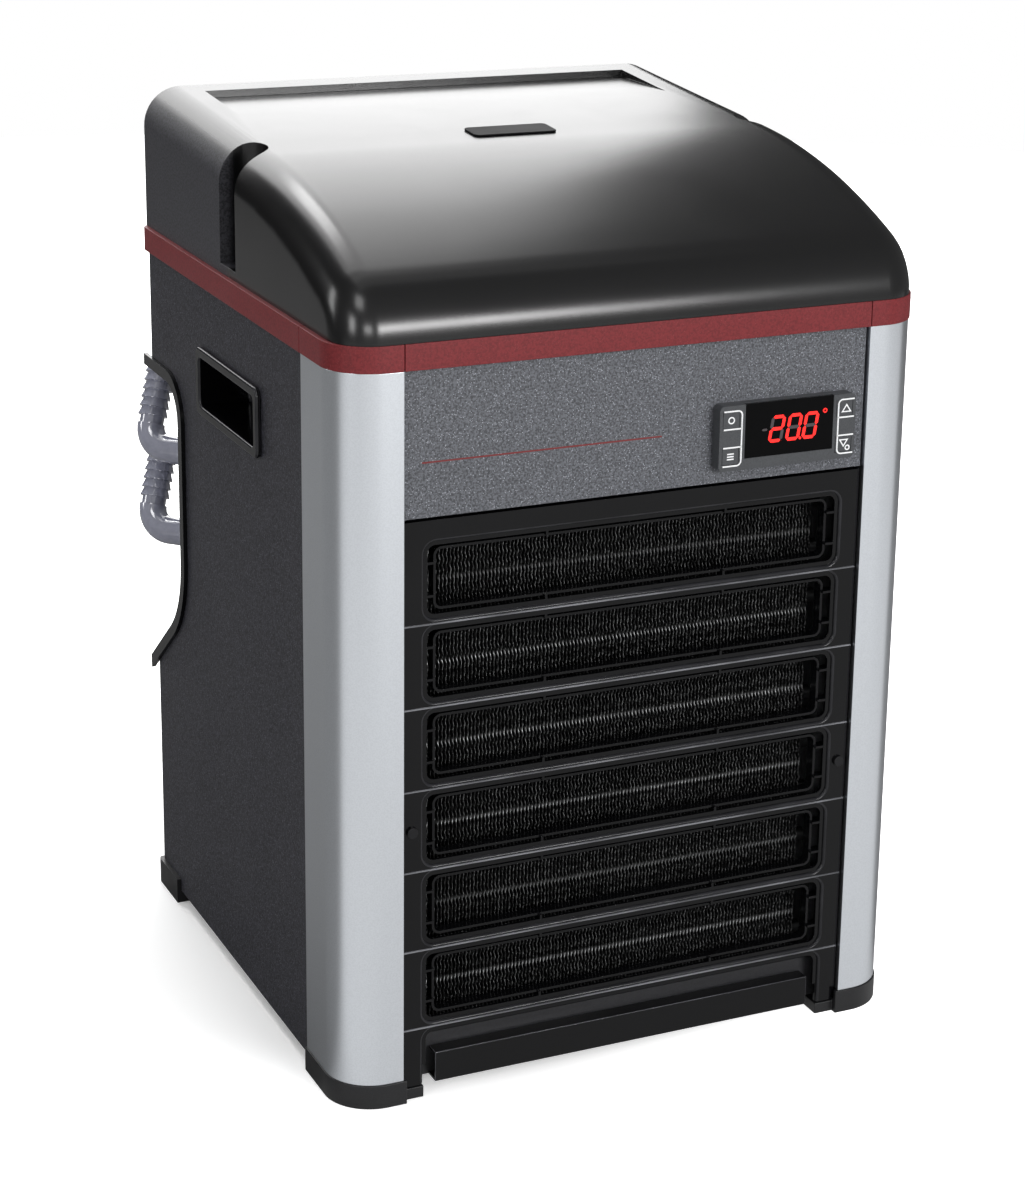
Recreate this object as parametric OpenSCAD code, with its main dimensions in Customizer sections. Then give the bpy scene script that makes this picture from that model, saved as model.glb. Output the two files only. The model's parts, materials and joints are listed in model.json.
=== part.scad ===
/* Aquarium chiller: a floor-standing water cooler in a sheet cabinet.
   X runs to the right seen from the front, Y to the rear, Z up.
   The origin is the centre of the cabinet's footprint on the floor. */

/* [Cabinet] */
// Width over the band
cab_w = 305; // [296:1:320]
// Depth over the band
cab_d = 295; // [292:1:310]
// Overall height
cab_h = 450; // [446:1:458]
// Height of the lid over the band
lid_rise = 73; // [69:0.5:77]
// Height of the band
band_h = 12.5; // [10:0.5:15]
// Thickness of the band, which the panels sit behind
band_t = 2.4; // [2:0.1:3]
// Plan radius of the front corners
corner_r = 24; // [21:0.5:27]
// Plan radius of the rear corners
rear_r = 6; // [5:0.5:9]
// Thickness of the sheet panels
sheet_t = 1.2; // [0.9:0.1:1.5]
// Height of the lower edges of the panels
skirt_z = 6.9; // [6:0.1:9]

/* [Posts and feet] */
// Width of the front face of a corner post
post_w = 32; // [29:0.5:35]
// Length of the flank of a corner post
post_l = 50; // [44:0.5:56]
// How far a post lies inside the outline of the band
post_set = 0.6; // [0.4:0.1:1]
// Depth of the inner lip of a post
post_lip = 13; // [10:0.5:15]
// Height of the front feet
foot_h = 12.4; // [11:0.1:15]
// Height of the rear feet
rear_foot_h = 14; // [12:0.5:18]
// Length of the rear feet
rear_foot_l = 34; // [24:1:40]
// Length of the tongue of a front foot under the grille
tongue_l = 10; // [8:0.5:12]

/* [Lid] */
// Wall of the lid
lid_t = 2.5; // [2:0.1:3]
// Slope of the rear of the lid top, in degrees
lid_slope = 4; // [3:0.25:5]
// Radius of the long curve of the lid
lid_bow_r = 360; // [350:1:375]
// Radius of the nose of the lid
lid_nose_r = 35; // [32:0.5:38]
// Rounding of the side edges of the lid
lid_edge_r = 20; // [16:0.5:22]
// How far the sides of the lid lie inside the band
lid_side_in = 2.5; // [2:0.1:4]
// Distance of the recess in the lid top from the sides of the lid
recess_in = 29; // [24:1:40]
// Depth of the recess at its rear wall
recess_d = 3.8; // [3:0.1:4.5]
// Width of the finger grooves
groove_w = 23.5; // [20:0.5:27]
// Reach of the finger grooves from the side of the lid
groove_l = 21; // [18:0.5:26]

/* [Front] */
// Distance of the top edge of the grille below the band
fascia_h = 71.9; // [69:0.1:75]
// Height of the middle of the lowest grille opening, behind the kick plate
foot_slot_z = 16.8; // [14:0.2:19]
// Width of the frame beside the grille openings
slot_side = 10.1; // [8:0.1:14]
// Height of the bars between the grille openings
slot_land = 3.4; // [3:0.1:5]
// Number of whole grille openings
slots = 6; // [4:1:6]
// Height of the kick plate
kick_h = 15.6; // [13:0.1:18]
// Thickness of the grille face
grille_t = 3; // [2.4:0.1:3.6]

/* [Handles] */
// Length of the handle cups
cup_l = 94; // [85:1:105]
// Height of the handle cups
cup_h = 35.7; // [32:0.1:40]
// Depth of the handle pockets
cup_d = 26; // [20:0.5:34]
// Distance of the middle of the handles below the band
cup_drop = 49.9; // [44:0.1:60]
// Distance of the handles behind the middle of the cabinet
cup_y = 10; // [0:1:16]

/* [Hose bay] */
// Distance of the upper edge of the bay below the band
bay_drop = 58; // [50:0.5:68]
// Distance of the front edge of the bay trim from the rear edge of the band
bay_run = 61.5; // [55.5:0.5:65.5]
// Width of the bay trim
bay_trim = 6; // [4:0.2:8]
// Radius of the upper corner of the bay
bay_corner_r = 25; // [18:1:32]
// Radius of the lower sweep of the bay
bay_sweep_r = 60; // [50:1:64]
// Height of the bay at the rear edge
bay_h = 180; // [172:0.5:188]
// Distance of the upper hose port below the upper edge of the bay
port_drop = 54.4; // [50:0.2:58]
// Distance between the hose ports
port_gap = 46.2; // [45.6:0.2:50]

/* [Hose fittings] */
// Radius of the elbow pipe
elbow_r = 7.5; // [7:0.1:8]
// Radius of the elbow bend
bend_r = 13; // [11:0.5:15]
// Radius of the water bore
water_r = 4.8; // [4:0.1:5.2]
// Radius of the barb ridges
barb_r = 8.25; // [7.8:0.05:8.6]
// Length of a barb from the bend corner
barb_l = 46; // [44:0.5:46]
// Distance of the bend corner from the bay wall
leg_l = 44.8; // [43:0.2:48]
// Tilt of the barbs from upright, in degrees
barb_tilt = 24.3; // [23:0.1:34]

/* [Cooling circuit] */
// Room left over and under the fan
fan_room = 38; // [35:1:50]
// Number of fan blades
fan_blades = 5; // [3:1:7]
// Radius of the heat exchanger vessel as a share of the width
vessel_r_share = 0.16; // [0.145:0.005:0.165]
// Distance of the top of the heat exchanger vessel below the band
vessel_drop = 74.4; // [68:0.2:84]
// Radius of the compressor shell as a share of the width
comp_r_share = 0.18; // [0.16:0.005:0.185]
// Height of the straight part of the compressor shell
comp_h = 118; // [100:1:140]
// Number of condenser tubes
tubes = 10; // [6:2:10]
// Spacing of the condenser fins
fin_pitch = 5; // [4:0.5:8]

/* [Controller] */
// Width of the controller face
ctl_w = 74; // [72:0.5:76]
// Height of the controller face
ctl_h = 32; // [31:0.5:34]
// How far the controller stands proud of the fascia
ctl_proud = 7; // [6:0.2:9]
// Distance of the middle of the controller from the right edge of the fascia
ctl_in = 45.2; // [44:0.2:60]
// Distance of the middle of the controller below the band
ctl_drop = 46.9; // [34:0.1:50]
// Travel of the keys
key_travel = 0.6; // [0.4:0.1:0.8]

/* [Hidden] */
$fn = 48;

over = 1;
seam = 0.3;
gap = 0.4;
run_fit = 0.06;
hw = cab_w / 2;
hd = cab_d / 2;
band_top = cab_h - lid_rise;
band_z = band_top - band_h;
band_lip_t = 1.2;
band_lip_w = 8;
panel_x = hw - band_t;
panel_rear = hd - band_t;
panel_top = band_top - band_lip_t;
post_x = hw - post_w;
post_y = -hd + post_l;
panel_tuck = 16;
pan_in = band_t + sheet_t + seam;
pan_wall_h = 22;
pan_notch = post_w + seam;
pan_rear = panel_rear - sheet_t - seam;
foot_seam = 1.6;
tongue_h = 6;
tongue_d = 12;
rear_pad_in = 42;

/* Front plane of the fascia and of the grille */
grille_top = band_z - fascia_h;
fascia_y = -hd + 3.2;
grille_y = -hd + 3.5;
front_gap = 0.8;
front_hw = post_x - front_gap;
flange_d = 9;
fascia_z0 = grille_top + 1.6;
fascia_z1 = band_top - 3;

/* Grille */
slot_r = 6;
slot_first_z = grille_top - 29.2;
slot_w = 2 * (front_hw - slot_side);
grille_pitch = (slot_first_z - foot_slot_z) / slots;
slot_h = grille_pitch - slot_land;
slot_step = 2.1;
slot_step_t = 1.4;
ring_in_w = slot_w - 14;
ring_in_h = slot_h - 9.7;
ring_r = 3;
ring_t = 1.2;
ring_d = 6;
rib_t = 1.2;
rib_x = 47.1;
rib_z = 8;
rib_d = 4;
leg_w = 10.5;
seam_w = 0.6;
seam_d = 0.5;
kick_hw = front_hw - 16.7;
kick_top = skirt_z + kick_h;
kick_lip = 8;
grille_screw_z = 140;
grille_screw_in = 4.3;
screw_r = 1.6;
screw_head_r = 2.7;
screw_head_t = 1.6;
screw_l = 9;
rear_screw_in = 14;
rear_screw_up = 8;

/* Lid */
lid_z = band_top;
lid_hw = hw - lid_side_in;
recess_hw = lid_hw - recess_in;
lid_front = -hd + 0.5;
lid_rear = hd - 1.5;
bow_steps = 8;
nose_steps = 5;
lid_lip_h = 3;
lid_lip = 0.4;
function slope_z(y) = cab_h - (lid_rear - y) * tan(lid_slope);
nose_y = lid_front + lid_nose_r;
nose_z = lid_z;
slope_c = -sin(lid_slope) * lid_rear + cos(lid_slope) * cab_h;
nose_s = -sin(lid_slope) * nose_y + cos(lid_slope) * nose_z;
nose_t = cos(lid_slope) * nose_y + sin(lid_slope) * nose_z;
bow_s = slope_c - lid_bow_r;
bow_t = nose_t + sqrt(pow(lid_bow_r - lid_nose_r, 2) - pow(bow_s - nose_s, 2));
bow_y = cos(lid_slope) * bow_t - sin(lid_slope) * bow_s;
bow_z = sin(lid_slope) * bow_t + cos(lid_slope) * bow_s;
bow_a0 = 90 + lid_slope;
bow_a1 = 180 - atan2(nose_z - bow_z, bow_y - nose_y);
recess_rear = lid_rear - 15;
recess_floor = slope_z(recess_rear) - recess_d;
recess_front = recess_rear - recess_d / tan(lid_slope) - over;
groove_y = 10.75;
groove_r = groove_w / 2;
groove_z = lid_z + 4.7;
groove_x = lid_hw - groove_l + groove_r;
badge_w = 45;
badge_d = 17;
badge_t = 1;
badge_r = 3;
badge_glue = 0.05;

/* Handles */
cup_z = band_z - cup_drop;
cup_r = 5;
cup_proud = 3;
cup_frame = 7;
cup_wall = 1.6;
cup_in_r = 3;

/* Hose bay */
bay_top = band_z - bay_drop;
bay_end_z = bay_top - bay_h;
port_high_z = bay_top - port_drop;
port_low_z = port_high_z - port_gap;
bay_t = 2.4;
bay_proud = 2.2;
bay_y = hd - bay_run;
bay_in_y = bay_y + bay_trim;
bay_cut = panel_x + bay_in_y;
bay_rear = hd + 2.5;
bay_end_a = 38;
bay_end_y = bay_rear;
port_s = 45;
port_hole_r = 10.2;
conn_r = 9.8;
conn_bore_r = 6;
conn_flange_r = 14;
conn_flange_t = 3;
conn_out = 12;
conn_in = 16;
conn_ring_gap = 1.4;
collar_y = conn_out + conn_ring_gap;
seal_r = 0.65;
seal_ring_r = 8;
collar_r = 9.2;
collar_t = 3;
nut_r = 13.4;
nut_clear = 0.3;
nut_lip = 3.4;
nut_back = 1;
lock_r = 14.5;
lock_t = 5;
ridges = 6;
ridge_first = 19.75;
ridge_pitch = 4.75;
barb_stem_r = 6.6;

/* Vessel and compressor */
vessel_r = cab_w * vessel_r_share;
comp_r = cab_w * comp_r_share;
vessel_run = port_s + vessel_r;
vessel_wall = 4;
vessel_flange_r = vessel_r + 7;
vessel_flange_t = 6;
stand_h = 32;
stand_r = vessel_r - 3;
pan_top = skirt_z + sheet_t;
vessel_z = pan_top + stand_h;
vessel_h = band_z - vessel_drop - vessel_z;
vessel_x = -panel_x + (port_s + vessel_run) * sqrt(1 / 2);
vessel_y = bay_in_y + (port_s - vessel_run) * sqrt(1 / 2);
cap_t = 6;
cap_screws = 6;
pipe_r = 7.5;
coil_r = vessel_r - 17;
coil_tube_r = 4.5;
coil_turns = 7;
coil_steps = 18;
coil_sides = 6;
coil_z0 = vessel_z + 30;
coil_z1 = vessel_z + vessel_h - 45;
comp_x = panel_x - comp_r - 20;
comp_y = hd - comp_r - 24.6;
comp_base_w = 2 * comp_r + 14;
comp_base_d = 2 * comp_r - 8;
comp_base_t = 3;
comp_base_r = 12;
grommet_r = 9;
grommet_h = 13;
grommet_in = 12;
bolt_r = 3;
bolt_head_r = 5;
bolt_head_t = 4;
comp_dome_r = 1.3 * comp_r;
comp_z = pan_top + grommet_h + comp_base_t;
comp_top = comp_z + comp_h;
comp_seam_r = 2;
comp_seam_share = 0.6;
term_w = 40;
term_d = 16;
term_h = 46;
term_z = comp_z + comp_h * comp_seam_share - term_h + 4.7;

/* Condenser and fan */
cond_hw = front_hw - 8.7;
cond_y = grille_y + 14;
cond_d = 22;
cond_z0 = 26;
cond_z1 = grille_top - 6.6;
cond_rear = cond_y + cond_d;
fin_t = 0.4;
end_t = 1.2;
end_flange = 8;
tube_r = 4;
tube_fit = 0.05;
tube_y = cond_y + cond_d / 2;
tube_pitch = (cond_z1 - cond_z0) / tubes;
tube_out = 5;
fan_z = (cond_z0 + cond_z1) / 2;
fan_clear = 5;
fan_r = min((cond_z1 - cond_z0) / 2 - fan_room, cond_hw - fan_room / 2);
ring_r_in = fan_r + fan_clear;
shroud_d = 20;
shroud_y = cond_rear + shroud_d;
venturi_d = 12;
hub_r = 22;
hub_l = 20;
hub_y = shroud_y - 8;
blade_w = 40;
blade_t = 2;
blade_pitch = 28;
shaft_r = 4;
motor_r = 38;
motor_l = hd - 97.5;
motor_y = shroud_y + 18;
motor_boss_r = 14;
motor_boss_l = 4;
arm_w = 14;
arm_t = 2.5;
arm_reach = ring_r_in + 8;
arms = 4;

/* Refrigerant lines */
line_r = 4;
cap_line_r = 1.5;
drier_r = 9.5;
drier_l = 90;
line_x = panel_x - 20.1;
drier_x = panel_x - 14.1;
drier_y = tube_y + 24;
drier_z = cond_z0 + tube_pitch / 2 + 20;
cap_line_x = line_x - 3 * line_r;
line_high_z = band_z - 48.5;
braze_t = 0.2;
line_mid_y = shroud_y + 33;

/* Controller */
ctl_x = front_hw - ctl_in;
ctl_z = band_z - ctl_drop;
ctl_y = fascia_y - ctl_proud;
ctl_r = 2.5;
ctl_wall = 1.4;
case_w = 70.5;
case_h = 28.5;
case_l = 55;
lens_x = 0.7;
lens_w = 48;
lens_h = 26.6;
lens_t = 2;
lens_set = 0.3;
key_w = 8.6;
key_h = 7.8;
key_x = 30.8;
key_z = 8.9;
key_gap = 0.25;
key_t = 3;
board_t = 1.6;
dome_r = 2.5;
dome_h = 0.8;

/* Mains inlet */
inlet_x = panel_x - 55.1;
inlet_z = 62;
inlet_w = 50;
inlet_h = 28;
inlet_t = 2.5;
inlet_r = 4;
socket_w = 24.5;
socket_h = 17;
socket_d = 17;
socket_wall = 2;
inlet_pin_w = 2;
inlet_pin_h = 4;
inlet_pin_l = 14;
inlet_pin_x = 7;
inlet_pin_z = 4;

/* Rear panel */
vent_w = 40;
vent_h = 4;
vent_pitch = 12;
vent_rows = 9;
vent_z = 150;
vent_x = 62;
vent_cols = 3;

/* Helper shapes */
function ring_point(a, r) = [r * cos(a), r * sin(a)];

module block(x0, x1, y0, y1, z0, z1) {
    translate([x0, y0, z0]) cube([x1 - x0, y1 - y0, z1 - z0]);
}

module along_x(x0, x1) {
    translate([x0, 0, 0]) rotate([90, 0, 90]) linear_extrude(x1 - x0) children();
}

module along_y(y0, y1) {
    translate([0, y1, 0]) rotate([90, 0, 0]) linear_extrude(y1 - y0) children();
}

module along_z(z0, z1) {
    translate([0, 0, z0]) linear_extrude(z1 - z0) children();
}

module rrect(w, h, r) {
    square([w - 2 * r, h], center = true);
    square([w, h - 2 * r], center = true);
    for (sx = [-1, 1], sy = [-1, 1])
        translate([sx * (w / 2 - r), sy * (h / 2 - r)]) circle(r);
}

/* Plan outline of the cabinet, moved inwards by d */
module plan(d) {
    rf = corner_r - d;
    rr = max(rear_r - d, seam);
    w = hw - d;
    l = hd - d;
    translate([-w, -l + rf]) square([2 * w, 2 * l - rf - rr]);
    translate([-w + rf, -l]) square([2 * w - 2 * rf, rf + seam]);
    translate([-w + rr, l - rr - seam]) square([2 * w - 2 * rr, rr + seam]);
    for (s = [-1, 1]) {
        translate([s * (w - rf), -l + rf]) circle(rf);
        translate([s * (w - rr), l - rr]) circle(rr);
    }
}

module plan_ring(outer, inner) {
    difference() {
        plan(outer);
        plan(inner);
    }
}

module window2(x0, x1, y0, y1) {
    translate([x0, y0]) square([x1 - x0, y1 - y0]);
}

/* Straight pipe between two points, and a run of them with round joints */
module pipe(a, b, r) {
    v = b - a;
    translate(a) rotate([0, acos(v[2] / norm(v)), atan2(v[1], v[0])]) cylinder(h = norm(v), r = r);
}

module pipe_run(points, r) {
    for (i = [0 : len(points) - 2]) pipe(points[i], points[i + 1], r);
    for (i = [1 : 1 : len(points) - 2]) translate(points[i]) sphere(r + braze_t);
}

/* Frame of a hose port: x along the bay wall, y out of the wall, z up */
module at_port(z) {
    translate([-panel_x, bay_in_y, z]) rotate([0, 0, 45]) translate([port_s, 0, 0]) children();
}

/* Cylinder along y from y0 to y1 */
module rod_y(y0, y1, r, sides = 48) {
    translate([0, y1, 0]) rotate([90, 0, 0]) cylinder(h = y1 - y0, r = r, $fn = sides);
}

/* Chassis */
module base_pan() {
    color("dimgray") {
        along_z(skirt_z, pan_top) pan_outline(pan_in);
        along_z(skirt_z, skirt_z + pan_wall_h) difference() {
            pan_outline(pan_in);
            pan_outline(pan_in + sheet_t);
        }
    }
}

module pan_outline(d) {
    grow = d - pan_in;
    difference() {
        plan(d);
        for (s = [-1, 1]) translate([s * hw, -hd])
            square([2 * (pan_notch + grow), 2 * (pan_notch + grow)], center = true);
        window2(-hw, hw, pan_rear - grow, hd);
        window2(-hw, hw, -hd, grille_y + flange_d + grow);
    }
}

module foot_front(s) {
    inner_x = post_x - foot_seam;
    end_y = post_y + foot_seam;
    color("black") mirror([s < 0 ? 0 : 1, 0, 0]) {
        along_z(0, skirt_z) intersection() {
            plan(0);
            window2(-hw, -inner_x, -hd, end_y);
        }
        along_z(0, foot_h) intersection() {
            plan_ring(0, band_t);
            window2(-hw, -inner_x, -hd, end_y);
        }
        block(-inner_x - over, -inner_x + tongue_l, grille_y, grille_y + tongue_d, 0, tongue_h);
    }
}

module foot_rear(s) {
    front_y = panel_rear - rear_foot_l;
    side_x = hw - rear_pad_in;
    color("black") mirror([s < 0 ? 0 : 1, 0, 0]) {
        along_z(0, skirt_z) intersection() {
            plan(0);
            window2(-hw, -side_x, front_y, panel_rear);
        }
        along_z(0, rear_foot_h) intersection() {
            plan_ring(0, band_t);
            window2(-hw, -side_x, front_y, panel_rear);
        }
    }
}

module post(s) {
    color("silver") mirror([s < 0 ? 0 : 1, 0, 0]) along_z(foot_h, band_z) {
        intersection() {
            plan_ring(post_set, band_t);
            window2(-hw, -post_x, -hd, post_y);
        }
        window2(-post_x - (band_t - post_set), -post_x, -hd + post_set, -hd + post_lip);
    }
}

module side_panel(s) {
    color("darkslategray") mirror([s < 0 ? 0 : 1, 0, 0]) difference() {
        along_z(skirt_z, panel_top) intersection() {
            plan(band_t);
            window2(-panel_x, -panel_x + sheet_t, post_y - panel_tuck, panel_rear);
        }
        translate([0, cup_y, cup_z]) along_x(-hw, hw)
            rrect(cup_l - cup_frame, cup_h - cup_frame, cup_in_r);
        if (s < 0) along_x(-hw, hw) bay_outline(bay_trim / 2);
    }
}

module rear_panel() {
    y0 = panel_rear - sheet_t;
    bay_x = bay_cut - panel_rear - bay_t;
    color("darkslategray") difference() {
        along_z(skirt_z, panel_top) intersection() {
            plan(band_t);
            window2(-panel_x + sheet_t + seam, panel_x - sheet_t - seam, y0, panel_rear);
        }
        block(-hw, -bay_x, y0 - over, hd, bay_end_z, bay_top);
        for (c = [0 : vent_cols - 1], k = [0 : vent_rows - 1])
            translate([(c - (vent_cols - 1) / 2) * vent_x + vent_h, 0, vent_z + k * vent_pitch])
                along_y(y0 - over, hd) rrect(vent_w, vent_h, vent_h / 2 - seam / 3);
        translate([inlet_x, 0, inlet_z]) along_y(y0 - over, hd)
            rrect(socket_w + 2 * socket_wall + seam, socket_h + 2 * socket_wall + seam, inlet_r);
        for (p = rear_screw_places()) translate([p[0], 0, p[1]]) rod_y(y0 - over, hd, screw_r + run_fit);
    }
}

function rear_screw_places() = [for (x = [-panel_x + rear_screw_in, panel_x - rear_screw_in],
    z = [skirt_z + pan_wall_h + rear_screw_up, band_z - rear_screw_up]) [x, z]];

module handle_cup(s) {
    body_w = cup_l - cup_frame - seam;
    body_h = cup_h - cup_frame - seam;
    color("black") mirror([s < 0 ? 0 : 1, 0, 0]) translate([-panel_x, cup_y, cup_z]) difference() {
        union() {
            along_x(-cup_proud, 0) rrect(cup_l, cup_h, cup_r);
            along_x(-over, cup_d) rrect(body_w, body_h, cup_in_r);
        }
        along_x(-cup_proud - over, cup_d - cup_wall)
            rrect(body_w - 2 * cup_wall, body_h - 2 * cup_wall, cup_in_r);
    }
}

/* Side outline of the hose bay, moved inwards by d */
function sweep_z() = bay_end_z + (bay_end_y - bay_y) * tan(bay_end_a)
    - bay_sweep_r * tan(bay_end_a) + bay_sweep_r / cos(bay_end_a);

module bay_outline(d) {
    rc = bay_corner_r - d;
    rs = bay_sweep_r - d;
    cy = bay_y + bay_sweep_r;
    cz = sweep_z();
    ky = bay_y + bay_corner_r;
    kz = bay_top - bay_corner_r;
    steps = 10;
    a_end = 180 + 90 - bay_end_a;
    arc_top = [for (i = [0 : steps]) [ky, kz] + ring_point(90 + 90 * i / steps, rc)];
    arc_low = [for (i = [0 : steps]) [cy, cz] + ring_point(180 + (a_end - 180) * i / steps, rs)];
    last = arc_low[steps];
    reach = bay_rear + over - last[0];
    polygon(concat([[bay_rear + over, bay_top - d]], arc_top, arc_low,
        [[last[0] + reach, last[1] - reach * tan(bay_end_a)]]));
}

/* Everything on the outer side of the slanted bay wall, moved inwards by d */
module bay_side(d) {
    c = bay_cut - d * sqrt(2);
    far = cab_w;
    along_z(0, cab_h) polygon([[-panel_x - band_t, c - panel_x - band_t], [hd + over - c, hd + over],
        [hd + over - c, far], [-panel_x - band_t, far]]);
}

module hose_bay() {
    color("black") difference() {
        union() {
            intersection() {
                along_x(-panel_x - bay_proud, -panel_x) bay_outline(0);
                block(-hw, 0, 0, bay_rear, 0, cab_h);
            }
            intersection() {
                along_x(-panel_x - over, -bay_cut + panel_rear + over) bay_outline(bay_trim - bay_t);
                bay_side(bay_t);
                block(-panel_x - over, 0, 0, panel_rear, 0, cab_h);
            }
        }
        intersection() {
            along_x(-hw - over, 0) bay_outline(bay_trim);
            union() {
                bay_side(0);
                block(-hw - over, -panel_x + seam, 0, hd + over * 5, 0, cab_h);
            }
        }
        for (z = [port_low_z, port_high_z]) at_port(z) rod_y(-3 * bay_t, bay_t, port_hole_r);
    }
}

/* Front */
module fascia_panel() {
    color("dimgray") difference() {
        union() {
            block(-front_hw, front_hw, fascia_y, fascia_y + sheet_t, fascia_z0, fascia_z1);
            for (s = [-1, 1]) translate([s * (front_hw - sheet_t / 2), 0, 0])
                block(-sheet_t / 2, sheet_t / 2, fascia_y, fascia_y + flange_d, fascia_z0, fascia_z1);
        }
        translate([ctl_x, 0, ctl_z]) along_y(ctl_y, fascia_y + 2 * flange_d)
            rrect(case_w + gap, case_h + gap, ctl_wall);
    }
}

function slot_z(k) = slot_first_z - k * grille_pitch;

module grille_frame() {
    leg_x = front_hw - leg_w;
    color("black") difference() {
        union() {
            difference() {
                block(-front_hw, front_hw, grille_y, grille_y + grille_t, skirt_z, grille_top);
                for (k = [0 : slots]) translate([0, 0, slot_z(k)]) {
                    along_y(grille_y - over, grille_y + slot_step_t) rrect(slot_w, slot_h, slot_r);
                    along_y(grille_y, grille_y + grille_t + over)
                        rrect(slot_w - 2 * slot_step, slot_h - 2 * slot_step, slot_r - slot_step);
                }
                block(-leg_x, leg_x, grille_y - over, grille_y + grille_t + over, 0, slot_z(slots));
            }
            for (s = [-1, 1]) translate([s * (front_hw - grille_t / 4), 0, 0])
                block(-grille_t / 4, grille_t / 4, grille_y, grille_y + flange_d, skirt_z, grille_top);
            for (k = [0 : slots - 1]) translate([0, 0, slot_z(k)]) grille_ring();
        }
        for (k = [0 : slots - 1]) translate([0, 0, slot_z(k) - grille_pitch / 2])
            block(-hw, hw, grille_y - over, grille_y + seam_d, -seam_w / 2, seam_w / 2);
        for (s = [-1, 1]) translate([s * (front_hw - grille_screw_in), 0, grille_screw_z])
            rod_y(grille_y - over, grille_y + grille_t + over, screw_r + run_fit);
    }
}

module grille_ring() {
    y0 = grille_y + grille_t;
    out_w = ring_in_w + 2 * ring_t;
    out_h = ring_in_h + 2 * ring_t;
    along_y(y0, y0 + ring_d) difference() {
        rrect(out_w, out_h, ring_r + ring_t);
        rrect(ring_in_w, ring_in_h, ring_r);
    }
    for (s = [-1, 1]) {
        for (x = [-rib_x, rib_x]) block(x - rib_t / 2, x + rib_t / 2, y0 - grille_t / 2, y0 + rib_d,
            min(s * (ring_in_h + ring_t) / 2, s * slot_h / 2), max(s * (ring_in_h + ring_t) / 2, s * slot_h / 2));
        for (z = [-rib_z, rib_z]) block(min(s * (ring_in_w + ring_t) / 2, s * slot_w / 2),
            max(s * (ring_in_w + ring_t) / 2, s * slot_w / 2), y0 - grille_t / 2, y0 + rib_d,
            z - rib_t / 2, z + rib_t / 2);
    }
}

module kick_plate() {
    y0 = grille_y;
    color("dimgray") {
        block(-kick_hw, kick_hw, y0, y0 + sheet_t, skirt_z, kick_top);
        block(-kick_hw, kick_hw, y0, y0 + kick_lip, kick_top - sheet_t, kick_top);
        block(-kick_hw, kick_hw, y0, y0 + flange_d, skirt_z, pan_top);
    }
}

module screw_y(head_y, side) {
    rod_y(min(head_y, head_y + side * screw_head_t), max(head_y, head_y + side * screw_head_t), screw_head_r);
    rod_y(min(head_y, head_y - side * screw_l), max(head_y, head_y - side * screw_l), screw_r);
}

module panel_screws() {
    color("black") {
        for (s = [-1, 1]) translate([s * (front_hw - grille_screw_in), 0, grille_screw_z])
            screw_y(grille_y, -1);
        for (p = rear_screw_places()) translate([p[0], 0, p[1]]) screw_y(panel_rear, 1);
    }
}

/* Band */
module band_piece(x0, x1, y0, y1) {
    color("darkred") {
        along_z(band_z, band_top) intersection() {
            plan_ring(0, band_t);
            window2(x0, x1, y0, y1);
        }
        along_z(band_top - band_lip_t, band_top) intersection() {
            plan_ring(band_t / 2, band_lip_w);
            window2(x0, x1, y0, y1);
        }
    }
}

module band_front() {
    band_piece(-post_x + seam / 2, post_x - seam / 2, -hd, -hd + corner_r / 2);
}

module band_corner(s) {
    mirror([s < 0 ? 0 : 1, 0, 0]) band_piece(-hw, -post_x - seam / 2, -hd, post_y - seam / 2);
}

module band_side(s) {
    mirror([s < 0 ? 0 : 1, 0, 0]) band_piece(-hw, -hw + corner_r, post_y + seam / 2, hd);
}

module band_rear() {
    band_piece(-hw + corner_r + seam, hw - corner_r - seam, 0, hd);
}

/* Lid */
function arc_points(c, r, a0, a1, n) = [for (i = [0 : n]) c + ring_point(a0 + (a1 - a0) * i / n, r)];

/* Centres of the edge rounding in side view, from the slope down to the nose */
function lid_stations() = concat(
    arc_points([bow_y, bow_z], lid_bow_r - lid_edge_r, bow_a0, bow_a1, bow_steps),
    arc_points([nose_y, nose_z], lid_nose_r - lid_edge_r, bow_a1, 180, nose_steps));

/* Solid form of the lid, moved inwards by d */
module lid_form(d, z0) {
    w = lid_hw - lid_edge_r;
    r = lid_edge_r - d;
    front = lid_front + lid_edge_r;
    hull() {
        for (s = [-1, 1], p = lid_stations()) translate([s * w, p[0], p[1]]) sphere(r, $fn = 32);
        along_y(lid_rear - d - seam, lid_rear - d) for (s = [-1, 1]) {
            translate([s * w, cab_h - lid_edge_r - d * tan(lid_slope)]) circle(lid_edge_r - d / cos(lid_slope), $fn = 32);
            translate([s * (lid_hw - d) - (s > 0 ? seam : 0), z0]) square([seam, seam]);
        }
        along_z(z0, z0 + seam) for (s = [-1, 1]) translate([s * w, front]) circle(r, $fn = 32);
    }
}

module lid_recess(d) {
    block(-recess_hw - d, recess_hw + d, recess_front - d, recess_rear + d, recess_floor - d, cab_h + over);
}

module lid_grooves(d) {
    for (s = [-1, 1]) translate([s * groove_x, groove_y, groove_z - d]) {
        cylinder(h = cab_h, r = groove_r + d);
        translate([min(0, s * lid_hw), -groove_r - d, 0]) cube([lid_hw, 2 * (groove_r + d), cab_h]);
    }
}

module lid() {
    color([0.1, 0.1, 0.11]) difference() {
        union() {
            intersection() {
                lid_form(0, lid_z);
                block(-hw, hw, -hd, hd, lid_z, cab_h + over);
            }
            along_z(lid_z, lid_z + lid_lip_h) intersection() {
                plan_ring(lid_side_in - lid_lip, lid_side_in + lid_t);
                window2(-hw, hw, nose_y, lid_rear);
            }
        }
        difference() {
            lid_form(lid_t, lid_z - over);
            lid_recess(lid_t);
            lid_grooves(lid_t);
        }
        lid_recess(0);
        lid_grooves(0);
    }
}

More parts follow.
